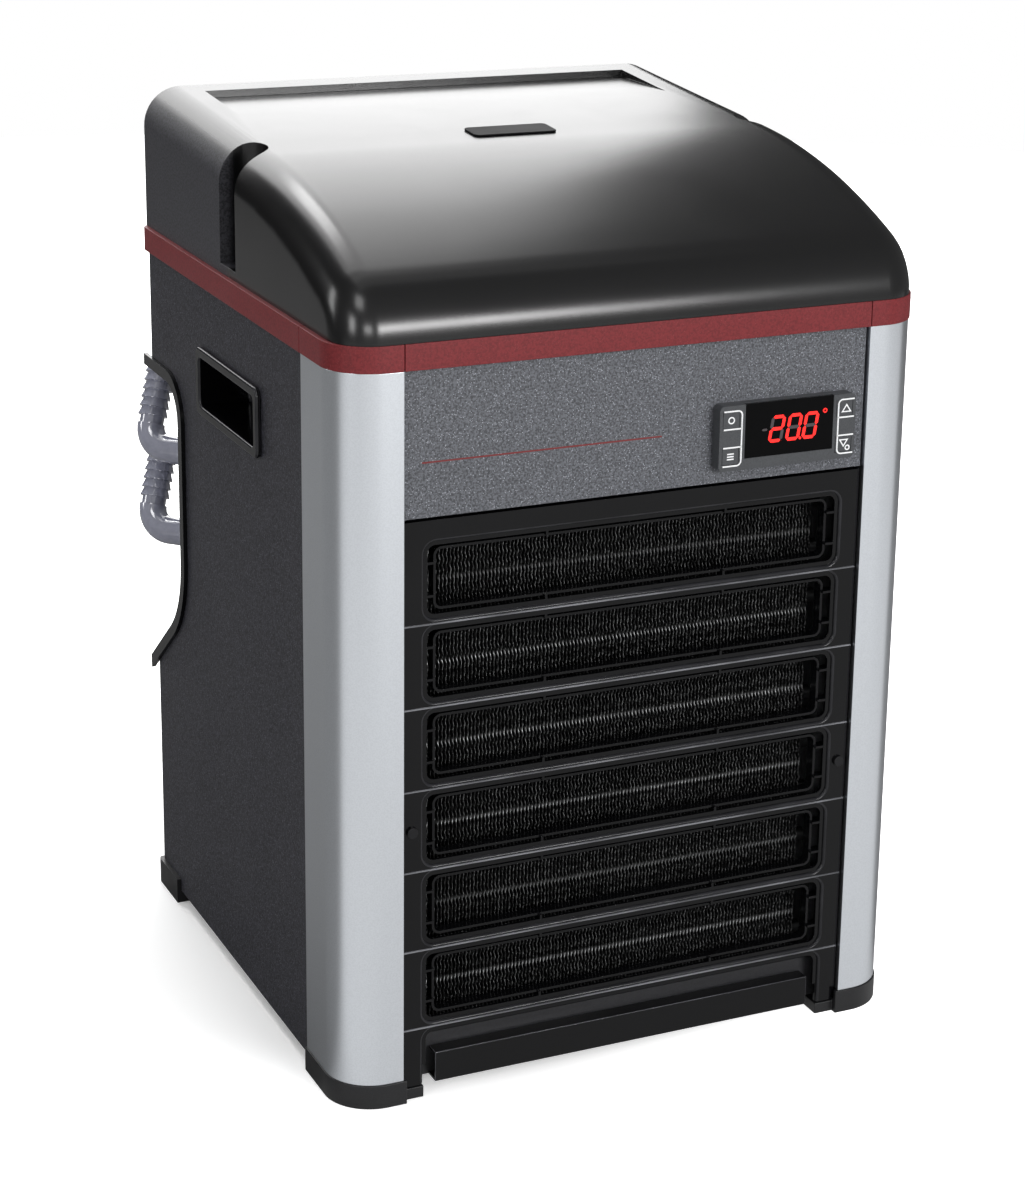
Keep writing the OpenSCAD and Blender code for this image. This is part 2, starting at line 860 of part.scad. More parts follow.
module badge_plate() {
    color("black") translate([0, groove_y, slope_z(groove_y)]) rotate([lid_slope, 0, 0])
        along_z(badge_glue, badge_t) rrect(badge_w, badge_d, badge_r);
}

/* Condenser and fan */
function tube_z(k) = cond_z0 + (k + 0.5) * tube_pitch;

module condenser_plate() {
    difference() {
        translate([cond_y, cond_z0]) square([cond_d, cond_z1 - cond_z0]);
        for (k = [0 : tubes - 1]) translate([tube_y, tube_z(k)]) circle(tube_r + tube_fit);
    }
}

module condenser_fins() {
    n = floor((2 * cond_hw - fin_pitch) / fin_pitch / 2);
    color("gray") for (i = [-n : n])
        along_x(i * fin_pitch - fin_t / 2, i * fin_pitch + fin_t / 2) condenser_plate();
}

module condenser_end_plates() {
    color("silver") for (s = [-1, 1]) {
        along_x(s * cond_hw - end_t / 2, s * cond_hw + end_t / 2) union() {
            condenser_plate();
            translate([cond_y, pan_top]) square([cond_d, cond_z0 - pan_top + over]);
        }
        translate([s * (cond_hw + end_flange / 2), 0, 0])
            block(-end_flange / 2, end_flange / 2, cond_y, cond_y + end_t, skirt_z + pan_wall_h, cond_z1);
    }
}

module condenser_tubes() {
    reach = cond_hw + tube_out;
    color("peru") {
        for (k = [0 : tubes - 1]) pipe([-reach, tube_y, tube_z(k)], [reach, tube_y, tube_z(k)], tube_r);
        for (k = [0 : tubes - 2]) translate([(k % 2 == 0 ? -1 : 1) * reach, tube_y, tube_z(k) + tube_pitch / 2])
            rotate([90, 0, 0]) rotate([0, 0, k % 2 == 0 ? 90 : -90])
                rotate_extrude(angle = 180) translate([tube_pitch / 2, 0]) circle(tube_r);
    }
}

module fan_shroud() {
    y0 = cond_rear + seam;
    color("silver") difference() {
        union() {
            block(-cond_hw - end_t, cond_hw + end_t, y0, shroud_y, cond_z0, cond_z1);
            translate([0, 0, fan_z]) rod_y(shroud_y - over, shroud_y + venturi_d, ring_r_in + end_t);
        }
        block(-cond_hw, cond_hw, y0 - over, shroud_y - end_t, cond_z0 + end_t, cond_z1 - end_t);
        translate([0, 0, fan_z]) rod_y(shroud_y - 2 * end_t, shroud_y + venturi_d + over, ring_r_in);
    }
}

module fan_rotor() {
    color("black") translate([0, 0, fan_z]) difference() {
        union() {
            rod_y(hub_y, hub_y + hub_l, hub_r);
            intersection() {
                translate([0, hub_y + hub_l / 2, 0]) for (i = [0 : fan_blades - 1])
                    rotate([0, i * 360 / fan_blades, 0]) rotate([0, 0, blade_pitch])
                        translate([-blade_w / 2, -blade_t / 2, hub_r - over]) cube([blade_w, blade_t, fan_r]);
                rod_y(hub_y - hub_l, hub_y + 2 * hub_l, fan_r);
            }
        }
        rod_y(-cab_d, cab_d, shaft_r);
    }
}

module fan_shaft() {
    color("silver") translate([0, 0, fan_z]) rod_y(hub_y - over, motor_y + motor_l - end_t, shaft_r);
}

module fan_motor() {
    color("dimgray") translate([0, 0, fan_z]) difference() {
        union() {
            rod_y(motor_y, motor_y + motor_l, motor_r);
            rod_y(motor_y - motor_boss_l, motor_y + over, motor_boss_r);
        }
        rod_y(motor_y - motor_boss_l - over, motor_y + motor_l - end_t + gap, shaft_r + run_fit);
    }
}

module fan_motor_bracket() {
    y1 = motor_y;
    color("silver") translate([0, 0, fan_z]) difference() {
        for (i = [0 : arms - 1]) rotate([0, (i + 0.5) * 360 / arms, 0]) {
            translate([-arm_w / 2, y1 - arm_t, 0]) cube([arm_w, arm_t, arm_reach]);
            translate([-arm_w / 2, shroud_y, arm_reach - arm_t]) cube([arm_w, y1 - shroud_y, arm_t]);
        }
        rod_y(shroud_y - over, y1 + over, motor_boss_r + seam);
    }
}

/* Compressor */
module at_compressor(z) {
    translate([comp_x, comp_y, z]) children();
}

module compressor() {
    color("black") at_compressor(comp_z) {
        cylinder(h = comp_h, r = comp_r);
        translate([0, 0, comp_h]) intersection() {
            translate([0, 0, -sqrt(pow(comp_dome_r, 2) - pow(comp_r, 2))]) sphere(comp_dome_r);
            translate([0, 0, -over]) cylinder(h = comp_r, r = comp_r);
        }
        translate([0, 0, comp_h * comp_seam_share]) rotate_extrude() translate([comp_r, 0]) circle(comp_seam_r);
    }
    color("black") difference() {
        at_compressor(comp_z - comp_base_t) linear_extrude(comp_base_t)
            rrect(comp_base_w, comp_base_d, comp_base_r);
        at_grommets(comp_z - comp_base_t - over) cylinder(h = comp_base_t + 2 * over, r = bolt_r + run_fit);
    }
}

module at_grommets(z) {
    for (sx = [-1, 1], sy = [-1, 1])
        translate([comp_x + sx * (comp_base_w / 2 - grommet_in), comp_y + sy * (comp_base_d / 2 - grommet_in), z])
            children();
}

module compressor_grommets() {
    color("dimgray") at_grommets(pan_top) difference() {
        cylinder(h = grommet_h, r = grommet_r);
        translate([0, 0, -over]) cylinder(h = grommet_h + 2 * over, r = bolt_r + run_fit);
    }
}

module terminal_cover() {
    color("black") difference() {
        translate([comp_x - term_w / 2, comp_y - comp_r - term_d / 2, term_z])
            cube([term_w, term_d, term_h]);
        at_compressor(0) cylinder(h = cab_h, r = comp_r + comp_seam_r + run_fit);
    }
}

/* Heat exchanger */
module at_vessel(z) {
    translate([vessel_x, vessel_y, z]) children();
}

module exchanger_stand() {
    color("dimgray") at_vessel(pan_top) difference() {
        cylinder(h = stand_h, r = stand_r);
        translate([0, 0, -over]) cylinder(h = stand_h + 2 * over, r = stand_r - vessel_wall);
    }
}

module exchanger_vessel() {
    color("white") difference() {
        at_vessel(vessel_z) {
            cylinder(h = vessel_h, r = vessel_r);
            translate([0, 0, vessel_h - vessel_flange_t]) cylinder(h = vessel_flange_t, r = vessel_flange_r);
        }
        at_vessel(vessel_z + vessel_wall) cylinder(h = vessel_h, r = vessel_r - vessel_wall);
        for (z = [port_low_z, port_high_z]) at_port(z)
            rod_y(vessel_r / 2 - vessel_run, -vessel_run + vessel_r + over, pipe_r + tube_fit);
    }
}

module exchanger_cap() {
    color("white") difference() {
        at_vessel(vessel_z + vessel_h) {
            cylinder(h = cap_t, r = vessel_flange_r);
            for (i = [0 : cap_screws - 1]) rotate([0, 0, (i + 0.5) * 360 / cap_screws])
                translate([vessel_r + 2, 0, cap_t - over]) cylinder(h = bolt_head_t, r = bolt_r, $fn = 6);
        }
        at_vessel(0) {
            translate([coil_r, 0, 0]) cylinder(h = cab_h, r = line_r + tube_fit);
            cylinder(h = cab_h, r = cap_line_r + tube_fit);
        }
    }
}

function coil_point(i) = let (n = coil_turns * coil_steps, a = 360 * i / coil_steps)
    [coil_r * cos(a), coil_r * sin(a), coil_z0 + (coil_z1 - coil_z0) * i / n];

module titanium_coil() {
    n = coil_turns * coil_steps;
    m = coil_sides;
    rings = [for (i = [0 : n], j = [0 : m - 1]) let (a = 360 * i / coil_steps, b = 360 * j / m)
        coil_point(i) + [cos(a) * cos(b), sin(a) * cos(b), sin(b)] * coil_tube_r];
    sides = [for (i = [0 : n - 1], j = [0 : m - 1]) let (p = i * m + j, q = i * m + (j + 1) % m)
        each [[p, p + m, q], [q, p + m, q + m]]];
    ends = concat([for (j = [1 : m - 2]) [0, j, j + 1]], [for (j = [1 : m - 2]) [n * m, n * m + j + 1, n * m + j]]);
    color("silver") at_vessel(0) polyhedron(points = rings, faces = concat(sides, ends));
}

/* Water ports */
module water_pipes() {
    color("white") for (z = [port_low_z, port_high_z]) at_port(z) difference() {
        rod_y(-vessel_run + vessel_r - vessel_wall / 2, -conn_in, pipe_r);
        rod_y(-vessel_run, 0, water_r + over);
    }
}

module port_connectors() {
    color("gray") for (z = [port_low_z, port_high_z]) at_port(z) difference() {
        union() {
            rod_y(-conn_in, conn_out, conn_r);
            rod_y(0, conn_flange_t, conn_flange_r);
        }
        rod_y(-conn_in - over, conn_out + over, conn_bore_r);
    }
}

module lock_nuts() {
    color("gray") for (z = [port_low_z, port_high_z]) at_port(z) difference() {
        rod_y(-bay_t - lock_t, -bay_t, lock_r, 6);
        rod_y(-bay_t - lock_t - over, 0, conn_r + tube_fit);
    }
}

module union_nuts() {
    y0 = conn_flange_t + nut_back;
    y1 = collar_y + collar_t + seam + nut_lip;
    color("slategray") for (z = [port_low_z, port_high_z]) at_port(z) difference() {
        rod_y(y0, y1, nut_r, 8);
        rod_y(y0 - over, conn_out, conn_r + tube_fit);
        rod_y(conn_out - seam, y1 - nut_lip, conn_r + tube_fit);
        rod_y(y0, y1 + over, elbow_r + run_fit);
    }
}

module seal_rings() {
    color("black") for (z = [port_low_z, port_high_z]) at_port(z)
        translate([0, conn_out + conn_ring_gap / 2, 0]) rotate([90, 0, 0])
            rotate_extrude() translate([seal_ring_r, 0]) circle(seal_r);
}

module elbow(z) {
    ridge_drop = barb_r - barb_stem_r;
    color("lightslategray") at_port(z) translate([0, leg_l, 0]) rotate([0, barb_tilt, 0]) difference() {
        union() {
            rod_y(collar_y - leg_l, -bend_r, elbow_r);
            rod_y(collar_y - leg_l, collar_y + collar_t - leg_l, collar_r);
            translate([0, -bend_r, bend_r]) rotate([90, 0, 90]) rotate([0, 0, 270])
                rotate_extrude(angle = 90) translate([bend_r, 0]) circle(elbow_r);
            translate([0, 0, bend_r]) cylinder(h = barb_l - bend_r, r = barb_stem_r);
            for (k = [0 : ridges - 1]) translate([0, 0, ridge_first + k * ridge_pitch - ridge_pitch / 2])
                cylinder(h = min(ridge_pitch, barb_l - ridge_first - (k - 0.5) * ridge_pitch),
                    r1 = barb_r, r2 = barb_r - ridge_drop);
        }
        rod_y(-leg_l, -bend_r, water_r);
        translate([0, -bend_r, bend_r]) rotate([90, 0, 90]) rotate([0, 0, 270])
            rotate_extrude(angle = 90) translate([bend_r, 0]) circle(water_r);
        translate([0, 0, bend_r]) cylinder(h = barb_l, r = water_r);
    }
}

/* Refrigerant lines */

module filter_drier() {
    color("peru") {
        translate([drier_x, drier_y, drier_z]) cylinder(h = drier_l, r = drier_r);
        pipe_run([[cond_hw + tube_out, tube_y, tube_z(0)], [drier_x, tube_y, tube_z(0)],
            [drier_x, drier_y, tube_z(0)], [drier_x, drier_y, drier_z + over]], tube_r);
    }
}

module capillary_tube() {
    z1 = drier_z + drier_l;
    color("peru") pipe_run([[drier_x, drier_y, z1], [drier_x, drier_y, z1 + drier_r * 2],
        [drier_x, line_mid_y, z1 + drier_r * 2], [cap_line_x, line_mid_y, z1 + drier_r * 2], [cap_line_x, line_mid_y, line_high_z],
        [vessel_x, line_mid_y, line_high_z], [vessel_x, vessel_y, line_high_z],
        [vessel_x, vessel_y, coil_z0], [vessel_x + coil_r - coil_tube_r, vessel_y, coil_z0]], cap_line_r);
}

/* Height of the compressor's dome at radius r */
function dome_z(r) = comp_top + sqrt(pow(comp_dome_r, 2) - pow(r, 2)) - sqrt(pow(comp_dome_r, 2) - pow(comp_r, 2));

module suction_line() {
    top = dome_z(0) - line_r / 2;
    color("peru") pipe_run([[vessel_x + coil_r, vessel_y, coil_z1 + coil_tube_r],
        [vessel_x + coil_r, vessel_y, line_high_z + drier_r], [comp_x, vessel_y, line_high_z + drier_r],
        [comp_x, comp_y, line_high_z + drier_r], [comp_x, comp_y, top]], line_r);
}

module discharge_line() {
    x = comp_x + comp_r / 2;
    top = dome_z(comp_r / 2) - line_r / 2;
    color("peru") pipe_run([[x, comp_y, top], [x, comp_y, cond_z1 + drier_r], [line_x, comp_y, cond_z1 + drier_r],
        [line_x, tube_y, cond_z1 + drier_r], [line_x, tube_y, tube_z(tubes - 1)],
        [cond_hw + tube_out, tube_y, tube_z(tubes - 1)]], line_r);
}

/* Controller */
module at_controller() {
    translate([ctl_x, 0, ctl_z]) children();
}

module key_outline(g) {
    square([key_w + 2 * g, key_h + 2 * g], center = true);
}

module controller_bezel() {
    y1 = ctl_y + lens_t;
    color("dimgray") at_controller() difference() {
        along_y(ctl_y, fascia_y) rrect(ctl_w, ctl_h, ctl_r);
        along_y(y1, fascia_y + over) rrect(ctl_w - 2 * ctl_wall, ctl_h - 2 * ctl_wall, ctl_r - ctl_wall / 2);
        translate([lens_x, 0, ctl_h / 2 - lens_h / 2]) along_y(ctl_y - over, y1 + over)
            square([lens_w, lens_h + seam / 3], center = true);
        for (sx = [-1, 1], sz = [-1, 1]) translate([sx * key_x, 0, sz * key_z])
            along_y(ctl_y - over, y1 + over) key_outline(key_gap);
    }
}

module controller_lens() {
    color("black") at_controller() translate([lens_x, 0, ctl_h / 2 - lens_h / 2])
        along_y(ctl_y + lens_set, ctl_y + lens_set + lens_t) square([lens_w - seam / 3, lens_h], center = true);
}

module controller_board() {
    y0 = fascia_y - board_t;
    color("green") at_controller() {
        along_y(y0, fascia_y) rrect(ctl_w - 2 * ctl_wall - seam, ctl_h - 2 * ctl_wall - seam, ctl_wall);
        for (sx = [-1, 1], sz = [-1, 1]) translate([sx * key_x, 0, sz * key_z])
            rod_y(y0 - dome_h, y0, dome_r);
    }
}

module controller_case() {
    color("black") at_controller() difference() {
        along_y(fascia_y, fascia_y + case_l) rrect(case_w, case_h, ctl_wall);
        along_y(fascia_y + ctl_wall, fascia_y + case_l - ctl_wall)
            square([case_w - 2 * ctl_wall, case_h - 2 * ctl_wall], center = true);
    }
}

/* Each key reaches down to just above its switch dome */
module key(sx, sz) {
    rest_gap = key_travel + seam / 3;
    y1 = fascia_y - board_t - dome_h - rest_gap;
    color("dimgray") at_controller() translate([sx * key_x, 0, sz * key_z]) {
        along_y(ctl_y, ctl_y + key_t) key_outline(0);
        rod_y(ctl_y + key_t - over, y1, dome_r);
    }
}

/* Mains inlet */
module mains_inlet() {
    y1 = panel_rear + inlet_t;
    color("black") translate([inlet_x, 0, inlet_z]) {
        difference() {
            union() {
                along_y(panel_rear, y1) rrect(inlet_w, inlet_h, inlet_r);
                along_y(y1 - socket_d - socket_wall, y1)
                    rrect(socket_w + 2 * socket_wall, socket_h + 2 * socket_wall, inlet_r - seam);
            }
            along_y(y1 - socket_d, y1 + over) rrect(socket_w, socket_h, inlet_r / 2);
        }
        for (p = [[-inlet_pin_x, -inlet_pin_z / 2], [inlet_pin_x, -inlet_pin_z / 2], [0, inlet_pin_z / 2]])
            translate([p[0], 0, p[1]]) along_y(y1 - socket_d - over, y1 - socket_d + inlet_pin_l)
                square([inlet_pin_w, inlet_pin_h], center = true);
    }
}

base_pan();
foot_front(-1);  // foot_front_left
foot_front(1);  // foot_front_right
foot_rear(-1);  // foot_rear_left
foot_rear(1);  // foot_rear_right
post(-1);  // post_left
post(1);  // post_right
side_panel(-1);  // side_panel_left
side_panel(1);  // side_panel_right
rear_panel();
handle_cup(-1);  // handle_cup_left
handle_cup(1);  // handle_cup_right
hose_bay();
fascia_panel();
grille_frame();
kick_plate();
band_front();
band_side(-1);  // band_side_left
band_side(1);  // band_side_right
band_rear();
band_corner(-1);  // band_corner_left
band_corner(1);  // band_corner_right
lid();
badge_plate();
panel_screws();
condenser_fins();
condenser_end_plates();
condenser_tubes();
fan_shroud();
fan_motor();
fan_motor_bracket();
fan_rotor();
fan_shaft();
compressor();
compressor_grommets();
terminal_cover();
exchanger_vessel();
exchanger_cap();
exchanger_stand();
titanium_coil();
water_pipes();
port_connectors();
lock_nuts();
union_nuts();
seal_rings();
elbow(port_high_z);  // elbow_upper
elbow(port_low_z);  // elbow_lower
filter_drier();
capillary_tube();
suction_line();
discharge_line();
controller_case();
controller_bezel();
controller_lens();
controller_board();
key(-1, 1);  // key_aux
key(-1, -1);  // key_set
key(1, 1);  // key_up
key(1, -1);  // key_down
mains_inlet();
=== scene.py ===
import json
import math

import bmesh
import bpy
from mathutils import Matrix, Vector

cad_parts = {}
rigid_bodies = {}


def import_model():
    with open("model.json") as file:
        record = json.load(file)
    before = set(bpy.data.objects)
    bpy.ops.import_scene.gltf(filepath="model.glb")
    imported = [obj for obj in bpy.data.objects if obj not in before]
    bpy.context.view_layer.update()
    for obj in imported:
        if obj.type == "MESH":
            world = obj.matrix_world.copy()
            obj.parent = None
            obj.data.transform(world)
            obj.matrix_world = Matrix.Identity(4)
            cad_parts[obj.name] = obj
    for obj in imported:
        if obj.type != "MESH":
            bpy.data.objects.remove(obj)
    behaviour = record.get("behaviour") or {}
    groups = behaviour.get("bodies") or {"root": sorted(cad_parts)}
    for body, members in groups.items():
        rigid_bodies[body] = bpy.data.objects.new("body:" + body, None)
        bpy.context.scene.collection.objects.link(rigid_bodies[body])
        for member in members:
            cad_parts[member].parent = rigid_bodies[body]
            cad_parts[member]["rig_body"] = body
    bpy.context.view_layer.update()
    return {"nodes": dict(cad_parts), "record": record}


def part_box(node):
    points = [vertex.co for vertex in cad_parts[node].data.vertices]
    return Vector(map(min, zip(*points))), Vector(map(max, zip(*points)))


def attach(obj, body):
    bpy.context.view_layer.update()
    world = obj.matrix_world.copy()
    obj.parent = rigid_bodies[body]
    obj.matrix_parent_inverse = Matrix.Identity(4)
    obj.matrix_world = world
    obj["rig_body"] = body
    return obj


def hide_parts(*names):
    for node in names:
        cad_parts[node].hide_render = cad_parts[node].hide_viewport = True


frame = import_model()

MM = 0.001
scene = bpy.context.scene
scene.view_settings.view_transform = "Standard"

# Lid: its outline seen from the side, its tray and its finger grooves
BAND_TOP = 377 * MM
LID_FRONT = -147 * MM
LID_REAR = 146 * MM
LID_HALF = 150 * MM
LID_TOP = 450 * MM
LID_WALL = 2.5 * MM
LID_EDGE = 20 * MM
LID_SLOPE = math.radians(4)
BOW_R = 360 * MM
NOSE_R = 35 * MM
RECESS_HALF = 121 * MM
RECESS_REAR = 131 * MM
RECESS_DEEP = 3.8 * MM
GROOVE_X = 140.75 * MM
GROOVE_Y = 10.75 * MM
GROOVE_R = 11.75 * MM
GROOVE_Z = 381.7 * MM
LID_OVERRUN = 9 * MM
LID_FOOT = BAND_TOP + 0.1 * MM

# Grille: SLOT_TOP is the middle of the top opening, and the rim is the front edge around an opening
GRILLE_Y = -144 * MM
SLOT_TOP = 263.4 * MM
SLOT_PITCH = 41.1 * MM
SLOTS = 7
RIM_FRONT = 0.2 * MM
RIM_SIDE = 112 * MM
RIM_END = 103 * MM
RIM_HALF = 18.85 * MM
RIM_TALL = 18.9 * MM
RIM_NEAR = 0.1 * MM

# Fins, and the curl of each one from step to step
FIN_PITCH = 1.9 * MM
FIN_THICK = 0.16 * MM
FIN_CURL = 0.3 * MM
FIN_SHIFT = 0.5 * MM
FIN_STEPS = 100

# Thermostat: the middle of its face, then its digits and marks in mm from there
CONTROL_X = 74.5 * MM
CONTROL_Z = 317.6 * MM
DIGIT_TALL = 11.7
DIGIT_WIDE = 6.1
DIGIT_BAR = 1.6
DIGIT_LEAN = 0.16
DIGIT_BASE = -3.5
DIGIT_RISE = 0.05 * MM
PRINT_RISE = 0.04 * MM
BARS = {"a": ((0, 1), (1, 1)), "b": ((1, 1), (1, .5)), "c": ((1, .5), (1, 0)), "d": ((0, 0), (1, 0)),
        "e": ((0, .5), (0, 0)), "f": ((0, 1), (0, .5)), "g": ((0, .5), (1, .5))}
DIGITS = (("abdeg", -9.9), ("abcdef", -0.6), ("abcdef", 8.4))
MINUS = ((-14.2, 2.4), (-10.9, 2.4))
MINUS_BAR = 1.1

# Edges: how mouldings and sheets are joined, found and rounded, widths in mm
ROUNDED = "rounded"
# Rounded faces this narrow or narrower get the full painted edge highlight
FINE_EDGE = 0.4 * MM
WELD = 2e-6
TOUCH = 1e-6
FOLD = 35.0
ROUNDINGS = (
    (0.5, ("foot_front_left", "foot_front_right", "foot_rear_left", "foot_rear_right")),
    (0.25, ("post_left", "post_right")),
    (0.2, ("side_panel_left", "side_panel_right", "rear_panel")),
    (1.2, ("handle_cup_left", "handle_cup_right")),
    (0.8, ("hose_bay",)),
    (0.3, ("fascia_panel", "kick_plate")),
    (0.35, ("band_front", "band_side_left", "band_side_right", "band_rear", "band_corner_left",
            "band_corner_right")),
    (0.3, ("badge_plate", "controller_bezel")),
    (0.15, ("controller_lens",)),
    (0.1, ("key_aux", "key_set", "key_up", "key_down")),
    (0.2, ("panel_screws",)),
    (0.4, ("union_nuts",)),
    (0.2, ("elbow_upper", "elbow_lower")),
    (0.4, ("mains_inlet",)),
)

# Softboxes behind the lid: lowest and highest angle of view, turn, all in degrees, and brightness
REAR_BANDS = ((2, 28, 7, 3.1), (28, 38, 5, 3.5), (38, 48, 3, 3.75), (48, 60, 3, 2.9),
              (60, 76, 0, 1.9), (76, 92, -10, 1.1), (92, 108, -10, 0.5))

# Floor: its greys for other, glossy and camera rays, and the soft painted shade under the cabinet
FLOOR_R = 2.6
FLOOR_BOUNCED = 0.3
FLOOR_GLOSSY = 0.19
FLOOR_SEEN = 0.97
SHADE_AT = (-0.07, 0.05, 0)
SHADE_NEAR = 0.13
SHADE_FAR = 0.29
SHADE_LEAST = 0.18

PATCH_SCALE = 14.0


def linear(red, green, blue):
    """A colour given in screen values from 0 to 255, as the shaders want it."""
    out = []
    for v in (red, green, blue):
        c = v / 255
        out.append(c / 12.92 if c <= 0.04045 else ((c + 0.055) / 1.055) ** 2.4)
    return (*out, 1.0)


def grey(level):
    return (level, level, level, 1)


# Shared effects
def new_group(name, inputs, outputs):
    group = bpy.data.node_groups.new(name, "ShaderNodeTree")
    for label, value in inputs:
        socket = group.interface.new_socket(label, in_out="INPUT", socket_type="NodeSocketFloat")
        socket.default_value = value
    for label in outputs:
        group.interface.new_socket(label, in_out="OUTPUT", socket_type="NodeSocketFloat")
    return group, group.nodes.new("NodeGroupInput"), group.nodes.new("NodeGroupOutput")


def math_node(tree, operation, first, second=None, third=None):
    node = tree.nodes.new("ShaderNodeMath")
    node.operation = operation
    for socket, value in zip(node.inputs, (first, second, third)):
        if value is None:
            continue
        if isinstance(value, (int, float)):
            socket.default_value = value
        else:
            tree.links.new(value, socket)
    return node.outputs[0]


def object_place(tree):
    """The X, Y and Z of a point on the piece, in metres."""
    parts = tree.nodes.new("ShaderNodeSeparateXYZ")
    tree.links.new(tree.nodes.new("ShaderNodeTexCoord").outputs["Object"], parts.inputs["Vector"])
    return parts.outputs


def noise(tree, scale, detail, distortion=0.0):
    node = tree.nodes.new("ShaderNodeTexNoise")
    node.inputs["Detail"].default_value = detail
    node.inputs["Distortion"].default_value = distortion
    if isinstance(scale, (int, float)):
        node.inputs["Scale"].default_value = scale
    else:
        tree.links.new(scale, node.inputs["Scale"])
    tree.links.new(tree.nodes.new("ShaderNodeTexCoord").outputs["Object"], node.inputs["Vector"])
    return node.outputs["Fac"]


def ramp(tree, value, low, high):
    node = tree.nodes.new("ShaderNodeMapRange")
    node.interpolation_type = "SMOOTHSTEP"
    tree.links.new(value, node.inputs["Value"])
    node.inputs["From Min"].default_value = low
    node.inputs["From Max"].default_value = high
    return node.outputs["Result"]


def make_grain():
    """Fine orange-peel or moulded grain: a height, and a mask of its hollows."""
    group, source, sink = new_group("surface_grain", [("Scale", 1000.0)], ["Height", "Hollows"])
    fine = noise(group, source.outputs["Scale"], 2.0, distortion=0.4)
    group.links.new(fine, sink.inputs["Height"])
    group.links.new(ramp(group, fine, 0.62, 0.35), sink.inputs["Hollows"])
    return group


def make_flecks():
    """Scattered flecks, such as metal flake in paint or pale specks in plastic."""
    group, source, sink = new_group("flecks", [("Scale", 900.0), ("Share", 0.1)], ["Mask"])
    cells = group.nodes.new("ShaderNodeTexVoronoi")
    group.links.new(source.outputs["Scale"], cells.inputs["Scale"])
    place = group.nodes.new("ShaderNodeTexCoord").outputs["Object"]
    group.links.new(place, cells.inputs["Vector"])
    pick = group.nodes.new("ShaderNodeSeparateColor")
    group.links.new(cells.outputs["Color"], pick.inputs["Color"])
    rare = math_node(group, "SUBTRACT", 1.0, source.outputs["Share"])
    chosen = math_node(group, "GREATER_THAN", pick.outputs[0], rare)
    near = ramp(group, cells.outputs["Distance"], 0.45, 0.2)
    group.links.new(math_node(group, "MULTIPLY", chosen, near), sink.inputs["Mask"])
    return group


def make_handling():
    """Broad uneven patches from handling, wiping and settled dust; they also make the painted edge highlights
    uneven.
    """
    group, source, sink = new_group("handling", [("Scale", PATCH_SCALE)], ["Patches"])
    broad = noise(group, source.outputs["Scale"], 4.0, distortion=0.6)
    group.links.new(ramp(group, broad, 0.35, 0.7), sink.inputs["Patches"])
    return group


GRAIN, FLECKS, HANDLING = make_grain(), make_flecks(), make_handling()


def use_group(tree, group, **values):
    node = tree.nodes.new("ShaderNodeGroup")
    node.node_tree = group
    for label, value in values.items():
        node.inputs[label].default_value = value
    return node


def mix_colour(tree, share, first, second):
    node = tree.nodes.new("ShaderNodeMix")
    node.data_type = "RGBA"
    tree.links.new(share, node.inputs["Factor"])
    for socket, value in ((node.inputs["A"], first), (node.inputs["B"], second)):
        if isinstance(value, tuple):
            socket.default_value = value
        else:
            tree.links.new(value, socket)
    return node.outputs["Result"]


def shader_of(material):
    return material.node_tree.nodes["Principled BSDF"]


def paint_over(material, share, colour):
    """Lays a colour over the finish's own, as far as the share says."""
    tree = material.node_tree
    base = shader_of(material).inputs["Base Color"]
    tree.links.new(mix_colour(tree, share, base.links[0].from_socket, colour), base)


def off_slot_line(tree, height, up):
    """How far a point is, in pitches, from a line at this height that repeats with the openings."""
    turns = math_node(tree, "DIVIDE", math_node(tree, "SUBTRACT", height, up), SLOT_PITCH)
    return math_node(tree, "ABSOLUTE", math_node(tree, "SUBTRACT", turns, math_node(tree, "ROUND", turns)))


def finish(name, colour, rough, *, grain, bump, metal=0.0, gloss=0.5, hollow=0.75, fleck=None,
           patches=0.06, coat=0.0, coat_rough=0.1):
    """A finish with grain in its surface, flecks in its colour and uneven shine.
    fleck is (scale, share, colour)."""
    material = bpy.data.materials.new(name)
    material.use_nodes = True
    tree = material.node_tree
    shader = shader_of(material)
    shader.inputs["Metallic"].default_value = metal
    shader.inputs["Specular IOR Level"].default_value = gloss
    shader.inputs["Coat Weight"].default_value = coat
    shader.inputs["Coat Roughness"].default_value = coat_rough
    grains = use_group(tree, GRAIN, Scale=grain)
    dark = tuple(c * hollow for c in colour[:3]) + (1.0,)
    skin = mix_colour(tree, grains.outputs["Hollows"], colour, dark)
    if fleck:
        scale, share, pale = fleck
        flecks = use_group(tree, FLECKS, Scale=scale, Share=share)
        skin = mix_colour(tree, flecks.outputs["Mask"], skin, pale)
    tree.links.new(skin, shader.inputs["Base Color"])
    shine = tree.nodes.new("ShaderNodeMapRange")
    tree.links.new(use_group(tree, HANDLING, Scale=PATCH_SCALE).outputs["Patches"], shine.inputs["Value"])
    shine.inputs["To Min"].default_value = max(rough - patches, 0.02)
    shine.inputs["To Max"].default_value = min(rough + patches, 1.0)
    tree.links.new(shine.outputs["Result"], shader.inputs["Roughness"])
    relief = tree.nodes.new("ShaderNodeBump")
    relief.inputs["Distance"].default_value = bump
    relief.inputs["Strength"].default_value = 1.0
    tree.links.new(grains.outputs["Height"], relief.inputs["Height"])
    tree.links.new(relief.outputs["Normal"], shader.inputs["Normal"])
    return material


